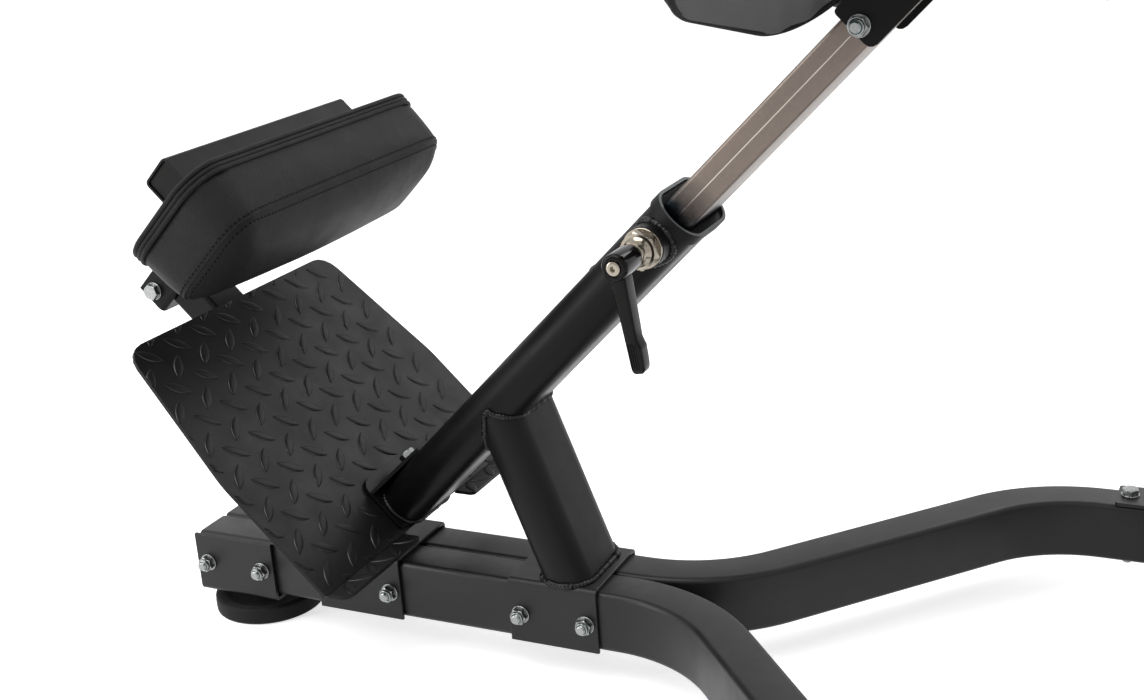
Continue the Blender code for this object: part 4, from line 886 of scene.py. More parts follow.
def strut_ends(outline):
    """Where each line of the strut meets the saddle's plane, and where it meets the tube.

    The tube's lower side lies below its axis by its half height on the flat and by the square
    root of half height squared less distance past the flat squared at its round sides."""
    lean = np.array([-math.sin(STRUT_LEAN), 0, math.cos(STRUT_LEAN)])
    across = np.array([math.cos(STRUT_LEAN), 0, math.sin(STRUT_LEAN)])
    foot = base_point(STRUT_X, 0, SADDLE_TOP + 0.0003)
    lines = foot + outline[:, :1] * across + outline[:, 1:] * np.array([0, 1.0, 0])
    low = -(lines[:, 2] - foot[2]) / lean[2]
    half = TUBE[1] / 2 + 0.0003
    past = np.clip(np.abs(outline[:, 1]) - (TUBE[0] - TUBE[1]) / 2, 0, half)
    under = -np.sqrt(np.maximum(half ** 2 - past ** 2, 0))
    out = INCLINE[:3, 2]
    high = (under - (lines - INCLINE[:3, 3]) @ out) / (lean @ out)
    return lines + low[:, None] * lean, lines + high[:, None] * lean


def make_strut():
    """The oval strut: each line of its wall runs from the saddle's plane to the tube's skin."""
    width, height, wall = TUBE
    outer, inner = (strut_ends(oval(height, width, i)) for i in (0, wall))
    low, high = outer
    grid = np.stack([low, low * 0.98 + high * 0.02, low * 0.02 + high * 0.98, high, inner[1],
                     inner[0]])
    piece("oval_strut", Shell().grid(grid, wrap_rows=True), "plate_coat", "strut")


def make_beads(radius):
    """Weld beads where the strut, the tube and the clamp's boss meet what carries them."""
    foot, top = strut_ends(oval(TUBE[1], TUBE[0], -0.0006, 24))
    turn, half = angles(72), TUBE[1] / 2
    w = BOSS_RADIUS * np.sin(turn)
    skin = -(half + np.sqrt(half ** 2 - w ** 2)) - 0.0002
    boss = incline(CLAMP_S + BOSS_RADIUS * np.cos(turn), skin, w)
    end = slope_grid([(TUBE_S[0] + 0.0008, oval(TUBE[0], TUBE[1], -0.0004, 24))])[0]
    shell = Shell()
    for seed, (path, share) in enumerate(((foot + (0, 0, 0.0006), 1.1), (top, 1), (boss, 1.15),
                                          (end, 0.7)), 1):
        shell.grid(bead(path, radius * share, seed), wrap_rows=True)
    piece("weld_beads", shell, "bead", sharp=60)
    prop = rounded(0.055, 0.055, 0.0052, -0.0004, 6)
    low = base_point(PROP_X + prop[:, 0], prop[:, 1], SADDLE_TOP + 0.001)
    piece("prop_bead", Shell().grid(bead(low, radius * 0.8, 5), wrap_rows=True), "bead",
          sharp=60)


def make_post():
    """The aluminium post: a rounded rectangle with a shallow groove down each narrow side."""
    width, height, corner, wall = POST

    def outline(inset):
        ring = rounded(width, height, corner, inset, 5)
        half, depth = width / 2 - inset, 0.0002 if inset < 0.001 else 0.0
        notch = np.array([(half, -0.0008), (half - depth, -0.0004), (half - depth, 0.0004),
                          (half, 0.0008)])
        middle = len(ring) // 2
        return np.concatenate((ring[:middle], -notch, ring[middle:], notch))

    grid = slope_grid([(s, outline(i)) for s, i in wall_stations(*POST_S, wall, 0.0004)])
    mesh = Shell().grid(grid, wrap_rows=True).mesh("sliding_post", 25)
    _, y, w = from_incline(vectors(mesh.polygons, "center")).T
    # The groove's faces take the lighter metal: a painted highlight line.
    in_groove = (np.abs(w) < 0.0005) & (np.abs(y) > width / 2 - 0.001)
    mesh.polygons.foreach_set("material_index", in_groove.astype(np.int32))
    piece("sliding_post", mesh, "aluminium bright_line", "post", "hip_carriage")


def make_stop():
    """The low domed screw in the tube's upper face."""
    dome = [(0.0273 + 0.0035 * math.sin(t), 0.0066 * math.cos(t) + 0.0001)
            for t in np.linspace(0, math.pi / 2, 9)]
    grid = turned([(0.0273, 0.0001)] + dome, on_slope(STOP_S), 32)
    piece("stop_dome", Shell().grid(grid), "coat", sharp=50)


# Clamp

def make_clamp_body():
    """The nickel body: flange, hexagon and a neck that draws in to the lever's hub."""
    shell = Shell().grid(turned(disc(0.0703, 0.0731, 0.0063, 0.0200), clamp_place, 72))
    shell.grid(hex_grid(0.034, 0.0731, 0.0841, clamp_place, 0.0016, twist=0.18, steps=72))
    shell.grid(turned([(0.0838, 0.0063), (0.0838, 0.0146), (0.0846, 0.0146), (0.0856, 0.0138),
                       (0.0872, 0.0122), (0.0886, 0.0116), (0.0898, 0.0112), (0.0902, 0.0098),
                       (0.0926, 0.0094), (0.0930, 0.0086), (0.0966, 0.0085), (0.0970, 0.0081),
                       (0.0970, 0.0063)], clamp_place, 72))
    piece("clamp_body_nickel", shell, "nickel", "clamp_body")


def on_lever(across, y, down):
    """World points on the lever, which hangs from the clamp's axis a little off the upright."""
    across, y, down = np.broadcast_arrays(across, y, down)
    level, fall = math.cos(LEVER_LEAN), math.sin(LEVER_LEAN)
    return np.stack((CLAMP[0] + across * level + down * fall, y,
                     CLAMP[1] + across * fall - down * level), -1)


def make_clamp_lever():
    """The lever: a turned hub with a recess, and a flat arm that narrows, steps out and ends."""
    hub = [(0.0973, 0.0063), (0.0973, 0.0092), (0.0985, 0.0104), (0.1010, 0.0122),
           (0.1040, 0.0129), (0.1340, 0.0130), (0.1372, 0.0128), (0.1388, 0.0120),
           (0.1398, 0.0108), (0.1400, 0.0095), (0.1400, 0.0080), (0.1396, 0.0074),
           (0.1390, 0.0073), (0.1338, 0.0073), (0.1337, 0.0063)]
    shell = Shell().grid(turned(hub, clamp_place, 72), wrap_rows=True)
    t = np.array([0, 0.02, 0.10, 0.2, 0.32, 0.44, 0.56, 0.66, 0.72, 0.745, 0.77, 0.80, 0.86,
                  0.92, 0.96, 0.985, 1.0])
    half = (0.0150 + (0.0112 - 0.0150) * t) / 2

    def depth(share):
        return 0.0200 * (1 - 0.20 * share)

    hook = 0.0026 * np.clip((t - 0.70) / 0.03, 0, 1) - 0.0010 * np.clip((t - 0.90) / 0.10, 0, 1)
    ease = np.concatenate(([0.0016, 0.0004], np.zeros(len(t) - 5), [0.0002, 0.0012, 0.0030]))
    rows = []
    for share, half_width, step, inset in zip(t, half, hook, ease):
        ring = rounded(2 * half_width + step, depth(share), 0.0026, inset, 5)
        rows.append(on_lever(ring[:, 0] + step / 2, LEVER_Y + ring[:, 1],
                             LEVER_TOP + share * LEVER_LENGTH))
    shell.grid(np.stack(rows))
    turn = angles(10)
    down = np.linspace(0.0715, 0.0985, 15)[:, None]
    size = 0.00085 * np.sqrt(np.clip(1 - np.linspace(-1, 1, 15) ** 8, 0.02, 1))[:, None]
    face = LEVER_Y - depth((down - LEVER_TOP) / LEVER_LENGTH) / 2
    for rib in (-0.0039, -0.0016, 0.0007, 0.0030):
        shell.grid(on_lever(rib + size * np.cos(turn), face + size * np.sin(turn), down))
    piece("clamp_handle", shell, "gloss", "clamp_lever", "clamp_screw", 38)


def make_clamp_screw():
    """The spindle, and the bright cap screw in the hub with a hexagonal socket in its head."""
    turn = angles(48)
    head = np.array([(0.1336, 0.0060), (0.1342, 0.0068), (0.1400, 0.0069), (0.1410, 0.0066),
                     (0.1414, 0.0058), (0.1415, 0.0036)])
    outer = spin(clamp_place, head[:, :1], head[:, 1:], turn)
    socket = spin(clamp_place, np.array([[0.1413], [0.1380]]), hex_radius(turn, 0.0052), turn)
    shell = Shell().grid(np.concatenate((outer, socket)))
    tip = 0.0491
    shell.grid(turned([(tip, 0.0001), (tip, 0.0056), (tip + 0.0004, 0.0060), (0.1334, 0.0060),
                       (0.1334, 0.0001)], clamp_place, 36))
    piece("clamp_screw_nickel", shell, "nickel", "clamp_spindle", "clamp_screw")


# Foot plate

def plate_half(w):
    """The foot plate's half width at each height: full up to the waist, then drawing in."""
    share = np.clip((w - PLATE_WAIST_W) / (PLATE_HIGH_W - PLATE_WAIST_W), 0, 1)
    return PLATE_HALF[0] + (PLATE_HALF[1] - PLATE_HALF[0]) * share


def lens_marks(shell, sizes, centres, room_at, place):
    """Raised lenses at (y, along, slant) centres: half width and height fall with 1 - u^2.

    room_at gives the distance inside the face's edge, and place puts (y, along, height) on it."""
    u = np.sin(np.linspace(-np.pi / 2, np.pi / 2, 13))[:, None]
    v = np.array([-1.0, -0.86, -0.45, 0.0, 0.45, 0.86, 1.0])[None]
    length = u * sizes.tread_length / 2 + 0 * v
    width = v * sizes.tread_width / 2 * (1 - u ** 2)
    rise = sizes.tread_height * (1 - u ** 2) ** 0.45 * (1 - v ** 8)
    y, along, slant = centres.T[..., None, None]
    y = y + ROOT_HALF * (-slant * length + width)
    along = along + ROOT_HALF * (-length - slant * width)
    rise = rise[None] * np.clip((room_at(y, along) - 0.0006) / 0.0012, 0, 1)
    # The flanks take the second finish, the lighter coat: a painted highlight round each lens.
    flank = np.zeros((u.size - 1, 2 * v.size), int)
    flank[:, [0, v.size - 2]] = 1
    for upper, lower in zip(place(y, along, rise + 0.0001), place(y, along, 0 * rise - 0.0003)):
        shell.grid(np.concatenate((upper, lower[:, ::-1]), 1), capped=False,
                   finish=flank.ravel().tolist())


def make_tread(sizes):
    """The plate's chequer of lenses, and the rows of them on the two lips that it stands on."""
    pitch = sizes.tread_pitch
    row, column = (g.ravel() for g in np.meshgrid(np.arange(-8, 9), np.arange(-6, 8),
                                                  indexing="ij"))
    centres = np.concatenate([
        np.stack((TREAD_Y + pitch * (column + 0.5 * kind),
                  TREAD_W - pitch * (row + 0.53 * kind), slant + 0.0 * row), -1)
        for kind, slant in ((0, -1.0), (1, 1.0))])
    y, w, _ = centres.T
    half = plate_half(w)
    corner = (np.abs(y) > half - 0.020) & (w > PLATE_HIGH_W - 0.020)
    tab = (np.abs(y) < 0.066) & (w < 0.050)
    inside = (np.abs(y) < half + 0.009) & (w > PLATE_LOW_W - 0.008) & (w < PLATE_HIGH_W + 0.009)
    margin = 0.0008

    def plate_room(y, w):
        return np.minimum(np.minimum(w - PLATE_LOW_W, PLATE_HIGH_W - w), plate_half(w) - np.abs(y))

    def on_plate(y, w, height):
        w = np.clip(w, PLATE_LOW_W + margin, PLATE_HIGH_W - margin)
        edge = plate_half(w) - margin
        return incline(PLATE_FACE_S + height, np.clip(y, -edge, edge), w)

    def lip_room(y, x):
        return np.minimum(np.minimum(x - LIP_X[0], LIP_X[1] - x),
                          np.minimum(np.abs(y) - LIP_Y[0], LIP_Y[1] - np.abs(y)))

    def on_lip(y, x, height):
        across = np.clip(np.abs(y), LIP_Y[0] + margin, LIP_Y[1] - margin)
        return base_point(np.clip(x, LIP_X[0] + margin, LIP_X[1] - margin), np.sign(y) * across,
                          LIP_TOP + height)

    shell = Shell()
    lens_marks(shell, sizes, centres[inside & ~corner & ~tab], plate_room, on_plate)
    count = np.arange(6)
    lip = np.stack((0.0750 + pitch / 2 * count, np.full(6, (LIP_X[0] + LIP_X[1]) / 2),
                    np.where(count % 2, 1.0, -1.0)), -1)
    for side in (-1, 1):
        lens_marks(shell, sizes, lip * (side, 1, side), lip_room, on_lip)
    # The second finish is the painted highlight on the lenses' flanks.
    piece("tread_marks", shell.mesh("tread_marks", 70, merge=0.00001), "plate_coat tread_edge")


# Folded and square steel, cut from the frame's own solids

def finished_copy(node_name, look, width=0.0007, body="frame"):
    """A copy of a node's solid, merged and cleaned, with its edges eased by a live Bevel."""
    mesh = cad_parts[node_name].data.copy()
    mesh.name = node_name + "_finish"
    shape = bmesh.new()
    shape.from_mesh(mesh)
    bmesh.ops.remove_doubles(shape, verts=shape.verts, dist=0.00001)
    bmesh.ops.dissolve_limit(shape, angle_limit=math.radians(0.6), verts=shape.verts,
                             edges=shape.edges)
    shape.to_mesh(mesh)
    shape.free()
    if "custom_normal" in mesh.attributes:
        mesh.attributes.remove(mesh.attributes["custom_normal"])
    mesh.shade_smooth()
    made = piece(mesh.name, mesh, look, node_name, body)
    put(made.modifiers.new("eased", "BEVEL"), width=width, segments=2, limit_method="ANGLE",
        angle_limit=math.radians(32), harden_normals=True)
    put(made.modifiers.new("weighted", "WEIGHTED_NORMAL"), keep_sharp=True)


STEEL = {"coat": ("rear_bracket", "mid_saddle", "strut_saddle", "front_cross_tube"),
         "plate_coat": ("foot_plate",),
         # These take the darker copy of the coat: painted shade.
         "tube_coat": ("tab", "arm", "arm_prop", "calf_bracket", "calf_bar", "calf_cross_tube",
                       "clamp_boss")}
KEPT_NODES = {"calf_cap_right": "dark_plastic", "calf_cap_left": "dark_plastic",
              "post_plug": "plastic", "clamp_pad": "plastic", "stop_screw": "coat"}


# Pads

def pad_ring(pad, inset, steps):
    """A pad's outline, drawn in by inset on every side."""
    return rounded(pad["length"], pad["width"], pad["corner"], inset, steps)


def pad_grid(pad, shrink):
    """A pad's block: sides that draw in a little towards the front, then a low crowned panel.

    The panel rises by the crown times the sine of the share of the way in from its edge."""
    edge = pad["thickness"] - pad["crown"]
    reach = 0.046
    rows = [(edge * t, 0.004 * t ** 1.2 - 0.0006 * math.sin(math.pi * t))
            for t in np.linspace(0, 1, 9)]
    rows += [(edge + pad["crown"] * math.sin(math.pi / 2 * t) ** 0.92, 0.004 + 0.001 + reach * t)
             for t in np.linspace(0.04, 1, 12)]
    return np.stack([at_height(pad_ring(pad, inset + shrink, 10), z) for z, inset in rows])


def inflated(mesh, held, frames, swell):
    """The cover after its cloth has been blown up a little; held points stay where they are."""
    rest = vectors(mesh.vertices, "co")
    made = linked("cloth", mesh)
    pins = made.vertex_groups.new(name="held")
    for weight in (0.25, 0.5, 1.0):
        pins.add(np.nonzero(held > weight - 0.2)[0].tolist(), weight, "REPLACE")
    cloth = made.modifiers.new("cloth", "CLOTH")
    put(cloth.settings, quality=5, mass=0.2, tension_stiffness=12, compression_stiffness=12,
        bending_stiffness=0.6, use_pressure=True, uniform_pressure_force=4.0, shrink_min=0.0,
        vertex_group_mass="held")
    cloth.settings.effector_weights.gravity = 0
    put(cloth.point_cache, frame_start=1, frame_end=frames)
    scene = bpy.context.scene
    for step in range(1, frames + 1):
        scene.frame_set(step)
    graph = bpy.context.evaluated_depsgraph_get()
    moved = vectors(made.evaluated_get(graph).to_mesh().vertices, "co") - rest
    bpy.data.objects.remove(made)
    scene.frame_set(1)
    far = np.linalg.norm(moved, axis=1, keepdims=True)
    return rest + moved * np.minimum(1, swell / np.maximum(far, 1e-9))


def waves(points, seed, count, low, high):
    """A sum of plane waves with set directions and lengths, between -1 and 1."""
    rng = np.random.default_rng(seed)
    total = np.zeros(len(points))
    for _ in range(count):
        way = rng.normal(0, 1, 3)
        way /= np.linalg.norm(way)
        total += np.sin(points @ way * 2 * np.pi / rng.uniform(low, high) + rng.uniform(0, 6.28))
    return total / count


def on_surface(tree, points):
    """Each point moved to the nearest place on a surface, with the surface's direction there."""
    found = [tree.find_nearest(Vector(p)) for p in points]
    return np.array([tuple(f[0]) for f in found]), np.array([tuple(f[1]) for f in found])


def stitch_grids(shell, line, up, length, radius):
    """Stitches along a line: each a thin round thread that rises and dips back into the cover."""
    ahead = ahead_of(line)
    side = unit(np.cross(up, ahead))
    u = np.linspace(-1, 1, 5)
    middle = (line[:, None] + ahead[:, None] * (u * length / 2)[None, :, None]
              + up[:, None] * (0.0004 * (1 - u ** 2) - 0.0001)[None, :, None])
    size = radius * np.sqrt(np.clip(1 - u ** 4, 0.05, 1))
    for stitch in hoops(middle, side[:, None], up[:, None], size, 6):
        shell.grid(stitch)


def make_pad(name, node_name, pad, matrix, body, sizes, seed):
    """One pad: its block in even cells, inflated as cloth, gathered at its seam and placed."""
    edge = pad["thickness"] - pad["crown"]
    mesh = modified(Shell().grid(pad_grid(pad, 0.0010)).mesh(name + "_block"), "REMESH",
                    mode="VOXEL", voxel_size=sizes.voxel)
    rest = vectors(mesh.vertices, "co")
    x_room, y_room = (np.clip(1 - (2 * rest[:, k] / pad[key]) ** 2, 0, 1)
                      for k, key in ((0, "length"), (1, "width")))
    near_front = np.clip((rest[:, 2] - edge) / 0.010, 0, 1)
    rest[:, 2] += pad["bulge"] * near_front * x_room * y_room ** 0.7
    move_to(mesh, rest)
    seam = pad_ring(pad, 0.005, 24)
    inward = np.min(np.linalg.norm(rest[:, None, :2] - seam[None], axis=2), axis=1)
    from_seam = np.hypot(np.abs(rest[:, 2] - edge), inward)
    held = np.maximum(rest[:, 2] < 0.006, np.clip(1.05 - from_seam / 0.007, 0, 1))
    points = inflated(mesh, held, sizes.inflate_frames, sizes.swell)
    near = np.exp(-(from_seam / 0.011) ** 2)
    free = np.clip(rest[:, 2] / 0.012, 0, 1)
    pucker = waves(rest, seed, 7, 0.009, 0.022)
    soft = waves(rest, seed + 1, 9, 0.05, 0.16)
    shift = free * (0.00042 * near * pucker + 0.0005 * soft) - 0.0006 * near * free
    points = points + vectors(mesh.vertex_normals, "vector") * shift[:, None]
    move_to(mesh, points)
    mesh.shade_smooth()
    tree = BVHTree.FromPolygons(points.tolist(), [tuple(p.vertices) for p in mesh.polygons])
    welt, up = on_surface(tree, at_height(evenly(pad_ring(pad, 0.0042, 40), 0.004)[0], edge))
    piping = Shell().grid(cord_grid(welt - 0.0006 * up, 0.0013, 8), wrap_rows=True)
    edging, stitching = Shell(), Shell()
    roll = evenly(pad_ring(pad, 0.0010, 40), 0.003)[0]
    for height, radius in ((-0.0093, 0.0030), (-0.0040, 0.0027), (0.0012, 0.0026)):
        edging.grid(cord_grid(at_height(roll, height), radius, 10), wrap_rows=True)
    for inset, height in ((0.0036, edge - 0.0046), (0.0100, edge + 0.0042)):
        line = evenly(pad_ring(pad, inset, 40), sizes.stitch_pitch)[0]
        stitch_grids(stitching, *on_surface(tree, at_height(line, height)), sizes.stitch_length,
                     0.00066)
    for shell, label, look in ((piping, "piping", "cover"), (stitching, "stitching", "thread"),
                               (edging, "edging", "trim")):
        piece(f"{name}_{label}", shell, look, "", body, 50, matrix)
    made = piece(name, mesh, "cover", node_name, body, matrix=matrix)
    put(made.modifiers.new("finer", "SUBSURF"), levels=1, render_levels=1)


def make_board(name, node_name, pad, matrix, body, seed):
    """A covered board: its back face has soft folds, all sunk inwards, drawn to its edge."""
    edge = 0.0030
    turn = [math.pi / 2 * t for t in np.linspace(0, 1, 5)]
    side = [(edge * (1 - math.sin(t)), -BOARD + edge * (1 - math.cos(t))) for t in turn]
    rings = [at_height(pad_ring(pad, 0, 16) * (1 - share), -BOARD)
             for share in np.linspace(0.92, 0.05, 16)]
    rings += [at_height(pad_ring(pad, inset, 16), z)
              for inset, z in side + [(0, -0.0012), (0.0006, -0.0003), (0.004, 0.0)]]
    grid = np.stack(rings)
    flat = grid.reshape(-1, 3)
    slant = flat @ np.array([[1.0, 0.25, 0], [0.9, 0.25, 0], [0, 0, 0.2]])
    fold = np.clip(0.5 + 1.3 * waves(slant, seed, 9, 0.028, 0.085), 0, 1)
    pull = np.clip(1 - np.abs(np.hypot(flat[:, 0] / (pad["length"] / 2),
                                       flat[:, 1] / (pad["width"] / 2)) - 0.9) / 0.5, 0, 1)
    back = flat[:, 2] < -BOARD + 0.0001
    flat[:, 2] += np.where(back, 0.0056 * fold * (0.35 + 0.65 * pull), 0)
    behind = np.eye(4)
    behind[2, 3] = -PAD_BEHIND
    # The backing's grey colour is a painted sheen.
    piece(name, Shell().grid(grid), "backing", node_name, body, 50,
          matrix @ behind)


def calf_matrix():
    """The calf pad's own axes: x up the slope, y across, z out of its front, towards the plate."""
    return INCLINE @ np.array([[1, 0, 0, CALF_S], [0, -1, 0, 0], [0, 0, -1, CALF_W], [0, 0, 0, 1]])


def hip_matrix(side):
    """A hip pad's own axes on its plane, which rises outwards by the hip pads' tilt."""
    turn = side * HIP_TILT
    plane = np.array([[1, 0, 0, HIP_S],
                      [0, math.cos(turn), -math.sin(turn), side * HIP_EDGE[0]],
                      [0, math.sin(turn), math.cos(turn), HIP_EDGE[1]],
                      [0, 0, 0, 1]])
    shift = np.eye(4)
    shift[:3, 3] = (0, side * HIP_MIDDLE[0], HIP_MIDDLE[1])
    return INCLINE @ plane @ shift


# Handles

def make_bar():
    """The bent handle bar: a round section carried down, round a bend, across and back."""
    radius, half, bend, drop = (HANDLE[k] for k in ("radius", "half", "bend", "drop"))
    turn = np.linspace(0, np.pi / 2, 15)
    left = np.stack((-half + bend * (1 - np.cos(turn)), -bend + bend * np.sin(turn)), -1)
    line = np.concatenate(([[-half, -drop]], left, left[::-1] * (-1, 1), [[half, -drop]]))
    heading = unit(np.gradient(line, axis=0))
    around = angles(28)
    p, q = radius * np.cos(around), radius * np.sin(around)
    grid = incline(HANDLE["s"] + q, line[:, :1] - heading[:, 1:] * p,
                   line[:, 1:] + heading[:, :1] * p)
    piece("bent_handle", Shell().grid(grid), "coat", "handle_bar", "hip_carriage")


def make_grip(name, side):
    """A rubber grip whose ribs rise with the root of a sine along it, and fade at its ends."""
    along = np.linspace(0.004, 0.086, 120)
    rib = 0.0007 * np.abs(np.sin(along / 0.0060 * np.pi)) ** 0.5
    fade = np.clip(np.minimum(along - 0.010, 0.078 - along) / 0.002, 0, 1)
    profile = ([(0, 0.0001), (0, 0.0135), (0.0010, 0.0152), (0.003, 0.0160)]
               + list(zip(along, 0.0158 + rib * fade))
               + [(0.0890, 0.0156), (0.0900, 0.0150), (0.0900, 0.0128)])

    def place(along, p, q):
        return incline(HANDLE["s"] + p, side * HANDLE["half"] + q,
                       -HANDLE["drop"] - 0.004 + along)

    piece(name + "_ribbed", Shell().grid(turned(profile, place)), "rubber", name, "hip_carriage",
          45)


# Stage

LAMPS = (("key", (-0.6, -0.9, 2.9), (0, 0, 0.4), (2.4, 1.8), 60),
         ("side", (-2.6, -1.6, 1.2), (0, 0, 0.4), (1.6, 2.0), 26),
         ("back", (1.2, 2.6, 2.2), (0, 0, 0.4), (2.2, 1.4), 34),
         ("strip", (-2.0, -1.9, 1.3), (0, 0, 0.3), (0.35, 2.4), 22))


def make_camera():
    """A camera at the place and angle from which the bench was photographed."""
    lens = put(bpy.data.cameras.new("camera"), sensor_fit="HORIZONTAL", sensor_width=36.0,
               lens=49.743, shift_x=-0.002524, shift_y=0.00238)
    lens.dof.use_dof = False
    made = linked("camera", lens)
    turn = Matrix(((0.90682, -0.08137, 0.41356), (0.41675, 0.31994, -0.85085),
                   (-0.06308, 0.94393, 0.32404)))
    made.matrix_world = Matrix.Translation((0.588807, -1.3819, 0.880)) @ turn.to_4x4()
    bpy.context.scene.camera = made


def make_lamp(name, place, target, size, power):
    """A square soft lamp that faces a point."""
    light = put(bpy.data.lights.new(name, "AREA"), shape="RECTANGLE", size=size[0],
                size_y=size[1], energy=power)
    way = Vector(target) - Vector(place)
    put(linked(name, light), location=place,
        rotation_euler=way.to_track_quat("-Z", "Y").to_euler())


def seen_directly(tree):
    """1 for a ray from the camera, a reflection or glass, and 0 for one that lights a surface."""
    rays = node(tree, "LightPath").outputs
    first = reckon(tree, "MAXIMUM", rays["Is Camera Ray"], rays["Is Glossy Ray"])
    return reckon(tree, "MAXIMUM", first, rays["Is Transmission Ray"])


def make_world():
    """An even sky: white where it is seen, and a plain soft level where it lights."""
    world = bpy.data.worlds.new("studio")
    bpy.context.scene.world = world
    tree = cleared(world)
    level = spread(tree, seen_directly(tree), 0.42, 1.0, 0.0, 1.0)
    sky = node(tree, "Background", [("Color", (1, 1, 1, 1)), ("Strength", level)])
    node(tree, "OutputWorld", [(0, sky.outputs[0])])


def make_floor(base):
    """A broad pale floor that takes the bench's shadow and is white where nothing shades it."""
    size = 30.0
    corners = np.array([(-size, -size, 0), (size, -size, 0), (size, size, 0), (-size, size, 0)])
    mesh = bpy.data.meshes.new("floor")
    mesh.from_pydata((corners + (0, 0, -0.0005)).tolist(), [], [(0, 1, 2, 3)])
    material = bpy.data.materials.new("floor")
    tree = cleared(material)
    plain = node(tree, "BsdfDiffuse", [("Color", (*base, 1))])
    strength = reckon(tree, "MULTIPLY", seen_directly(tree), 0.64)
    glow = node(tree, "Emission", [("Color", (1, 1, 1, 1)), ("Strength", strength)])
    both = node(tree, "AddShader", enumerate((plain.outputs[0], glow.outputs[0])))
    node(tree, "OutputMaterial", [(0, both.outputs[0])])
    mesh.materials.append(material)
    linked("floor", mesh)


# Operators and panel

class BENCH_OT_stage(bpy.types.Operator):
    """Make the finishes, the camera, the lamps, the sky and the floor"""
    bl_idname = "bench.make_stage"
    bl_label = "Stage"

    def execute(self, context):
        make_looks(context.scene.bench_colours)
        make_camera()
        make_world()
        make_floor(context.scene.bench_colours.floor)
        for lamp in LAMPS:
            make_lamp(*lamp)
        context.scene.view_settings.view_transform = "Standard"
        return {"FINISHED"}


class BENCH_OT_base(bpy.types.Operator):
    """Make the bent legs, the rubber feet and their stems"""
    bl_idname = "bench.make_base"
    bl_label = "Base"

    def execute(self, context):
        make_leg("leg_right_tube", -1)
        make_leg("leg_left_tube", 1)
        for name, x, y, seat in FEET:
            make_foot(name, x, y)
            make_stem(name + "_stem", x, y, seat)
        return {"FINISHED"}


class BENCH_OT_steel(bpy.types.Operator):
    """Ease the edges of the folded and square steel, and finish the small nodes that stay"""
    bl_idname = "bench.finish_steel"
    bl_label = "Folded steel"

    def execute(self, context):
        for look, names in STEEL.items():
            for name in names:
                finished_copy(name, look)
        for name in ("hip_bracket_right", "hip_bracket_left"):
            # The hip brackets take the darker copy of the coat: painted shade.
            finished_copy(name, "tube_coat", body="hip_carriage")
        for name in ("front_cap_right", "front_cap_left"):
            finished_copy(name, "plastic", 0.0012)
        for name, look in KEPT_NODES.items():
            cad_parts[name].material_slots[0].material = LOOKS[look]
        return {"FINISHED"}


class BENCH_OT_fasteners(bpy.types.Operator):
    """Make every bolt, with its washers, lock nut and thread"""
    bl_idname = "bench.make_fasteners"
    bl_label = "Fasteners"

    def execute(self, context):
        make_bolts()
        make_tab_bolt()
        return {"FINISHED"}


class BENCH_OT_tube(bpy.types.Operator):
    """Make the sloping tube, its strut, collar and weld beads"""
    bl_idname = "bench.make_tube"
    bl_label = "Tube and strut"

    def execute(self, context):
        make_tube()
        make_collar()
        make_strut()
        make_beads(context.scene.bench_sizes.weld_radius)
        make_stop()
        return {"FINISHED"}


class BENCH_OT_post(bpy.types.Operator):
    """Make the sliding aluminium post"""
    bl_idname = "bench.make_post"
    bl_label = "Post"

    def execute(self, context):
        make_post()
        return {"FINISHED"}


class BENCH_OT_clamp(bpy.types.Operator):
    """Make the clamp's body, lever and screw"""
    bl_idname = "bench.make_clamp"
    bl_label = "Clamp"

    def execute(self, context):
        make_clamp_body()
        make_clamp_lever()
        make_clamp_screw()
        return {"FINISHED"}


class BENCH_OT_tread(bpy.types.Operator):
    """Make the raised marks of the foot plate"""
    bl_idname = "bench.make_tread"
    bl_label = "Foot plate tread"

    def execute(self, context):
        make_tread(context.scene.bench_sizes)
        return {"FINISHED"}


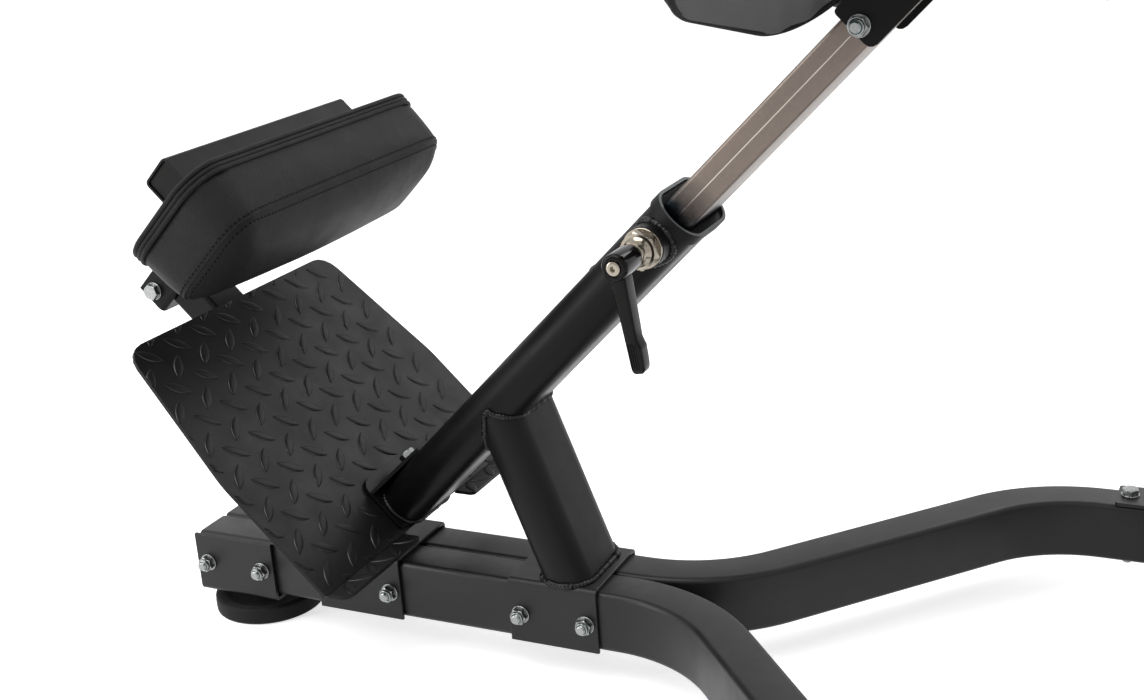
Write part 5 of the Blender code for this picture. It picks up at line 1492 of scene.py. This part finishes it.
class BENCH_OT_pads(bpy.types.Operator):
    """Make the calf pad, the hip pads and their covered boards"""
    bl_idname = "bench.make_pads"
    bl_label = "Pads"

    def execute(self, context):
        sizes = context.scene.bench_sizes
        for limb, side, pad, matrix, body, seed in (
                ("calf", "", CALF_PAD, calf_matrix(), "frame", 11),
                ("hip", "_right", HIP_PAD, hip_matrix(-1), "hip_carriage", 30),
                ("hip", "_left", HIP_PAD, hip_matrix(1), "hip_carriage", 32)):
            make_pad(f"{limb}_cushion{side}", f"{limb}_pad{side}", pad, matrix, body, sizes, seed)
            make_board(f"{limb}_backing{side}", f"{limb}_board{side}", pad, matrix, body,
                       seed + 10)
        return {"FINISHED"}


class BENCH_OT_handles(bpy.types.Operator):
    """Make the handle bar and its grips"""
    bl_idname = "bench.make_handles"
    bl_label = "Handles"

    def execute(self, context):
        make_bar()
        make_grip("grip_right", -1)
        make_grip("grip_left", 1)
        return {"FINISHED"}


OPERATORS = (BENCH_OT_stage, BENCH_OT_base, BENCH_OT_steel, BENCH_OT_fasteners, BENCH_OT_tube,
             BENCH_OT_post, BENCH_OT_clamp, BENCH_OT_tread, BENCH_OT_pads, BENCH_OT_handles)


class BENCH_PT_panel(bpy.types.Panel):
    bl_label = "Back extension bench"
    bl_idname = "BENCH_PT_panel"
    bl_space_type = "VIEW_3D"
    bl_region_type = "UI"
    bl_category = "Bench"

    def draw(self, context):
        for title, values in (("Sizes", context.scene.bench_sizes),
                              ("Colours", context.scene.bench_colours)):
            box = self.layout.box()
            box.label(text=title)
            for key in values.bl_rna.properties.keys():
                if key not in ("rna_type", "name"):
                    box.prop(values, key)
        for made in OPERATORS:
            self.layout.operator(made.bl_idname)


CLASSES = (BenchSizes, BenchColours, *OPERATORS, BENCH_PT_panel)


def register():
    for made in CLASSES:
        bpy.utils.register_class(made)
    bpy.types.Scene.bench_sizes = PointerProperty(type=BenchSizes)
    bpy.types.Scene.bench_colours = PointerProperty(type=BenchColours)


def unregister():
    del bpy.types.Scene.bench_colours
    del bpy.types.Scene.bench_sizes
    for made in reversed(CLASSES):
        bpy.utils.unregister_class(made)


def main():
    register()
    bpy.ops.bench.make_stage()
    bpy.ops.bench.make_base()
    bpy.ops.bench.finish_steel()
    bpy.ops.bench.make_fasteners()
    bpy.ops.bench.make_tube()
    bpy.ops.bench.make_post()
    bpy.ops.bench.make_clamp()
    bpy.ops.bench.make_tread()
    bpy.ops.bench.make_pads()
    bpy.ops.bench.make_handles()


if __name__ == "__main__":
    main()
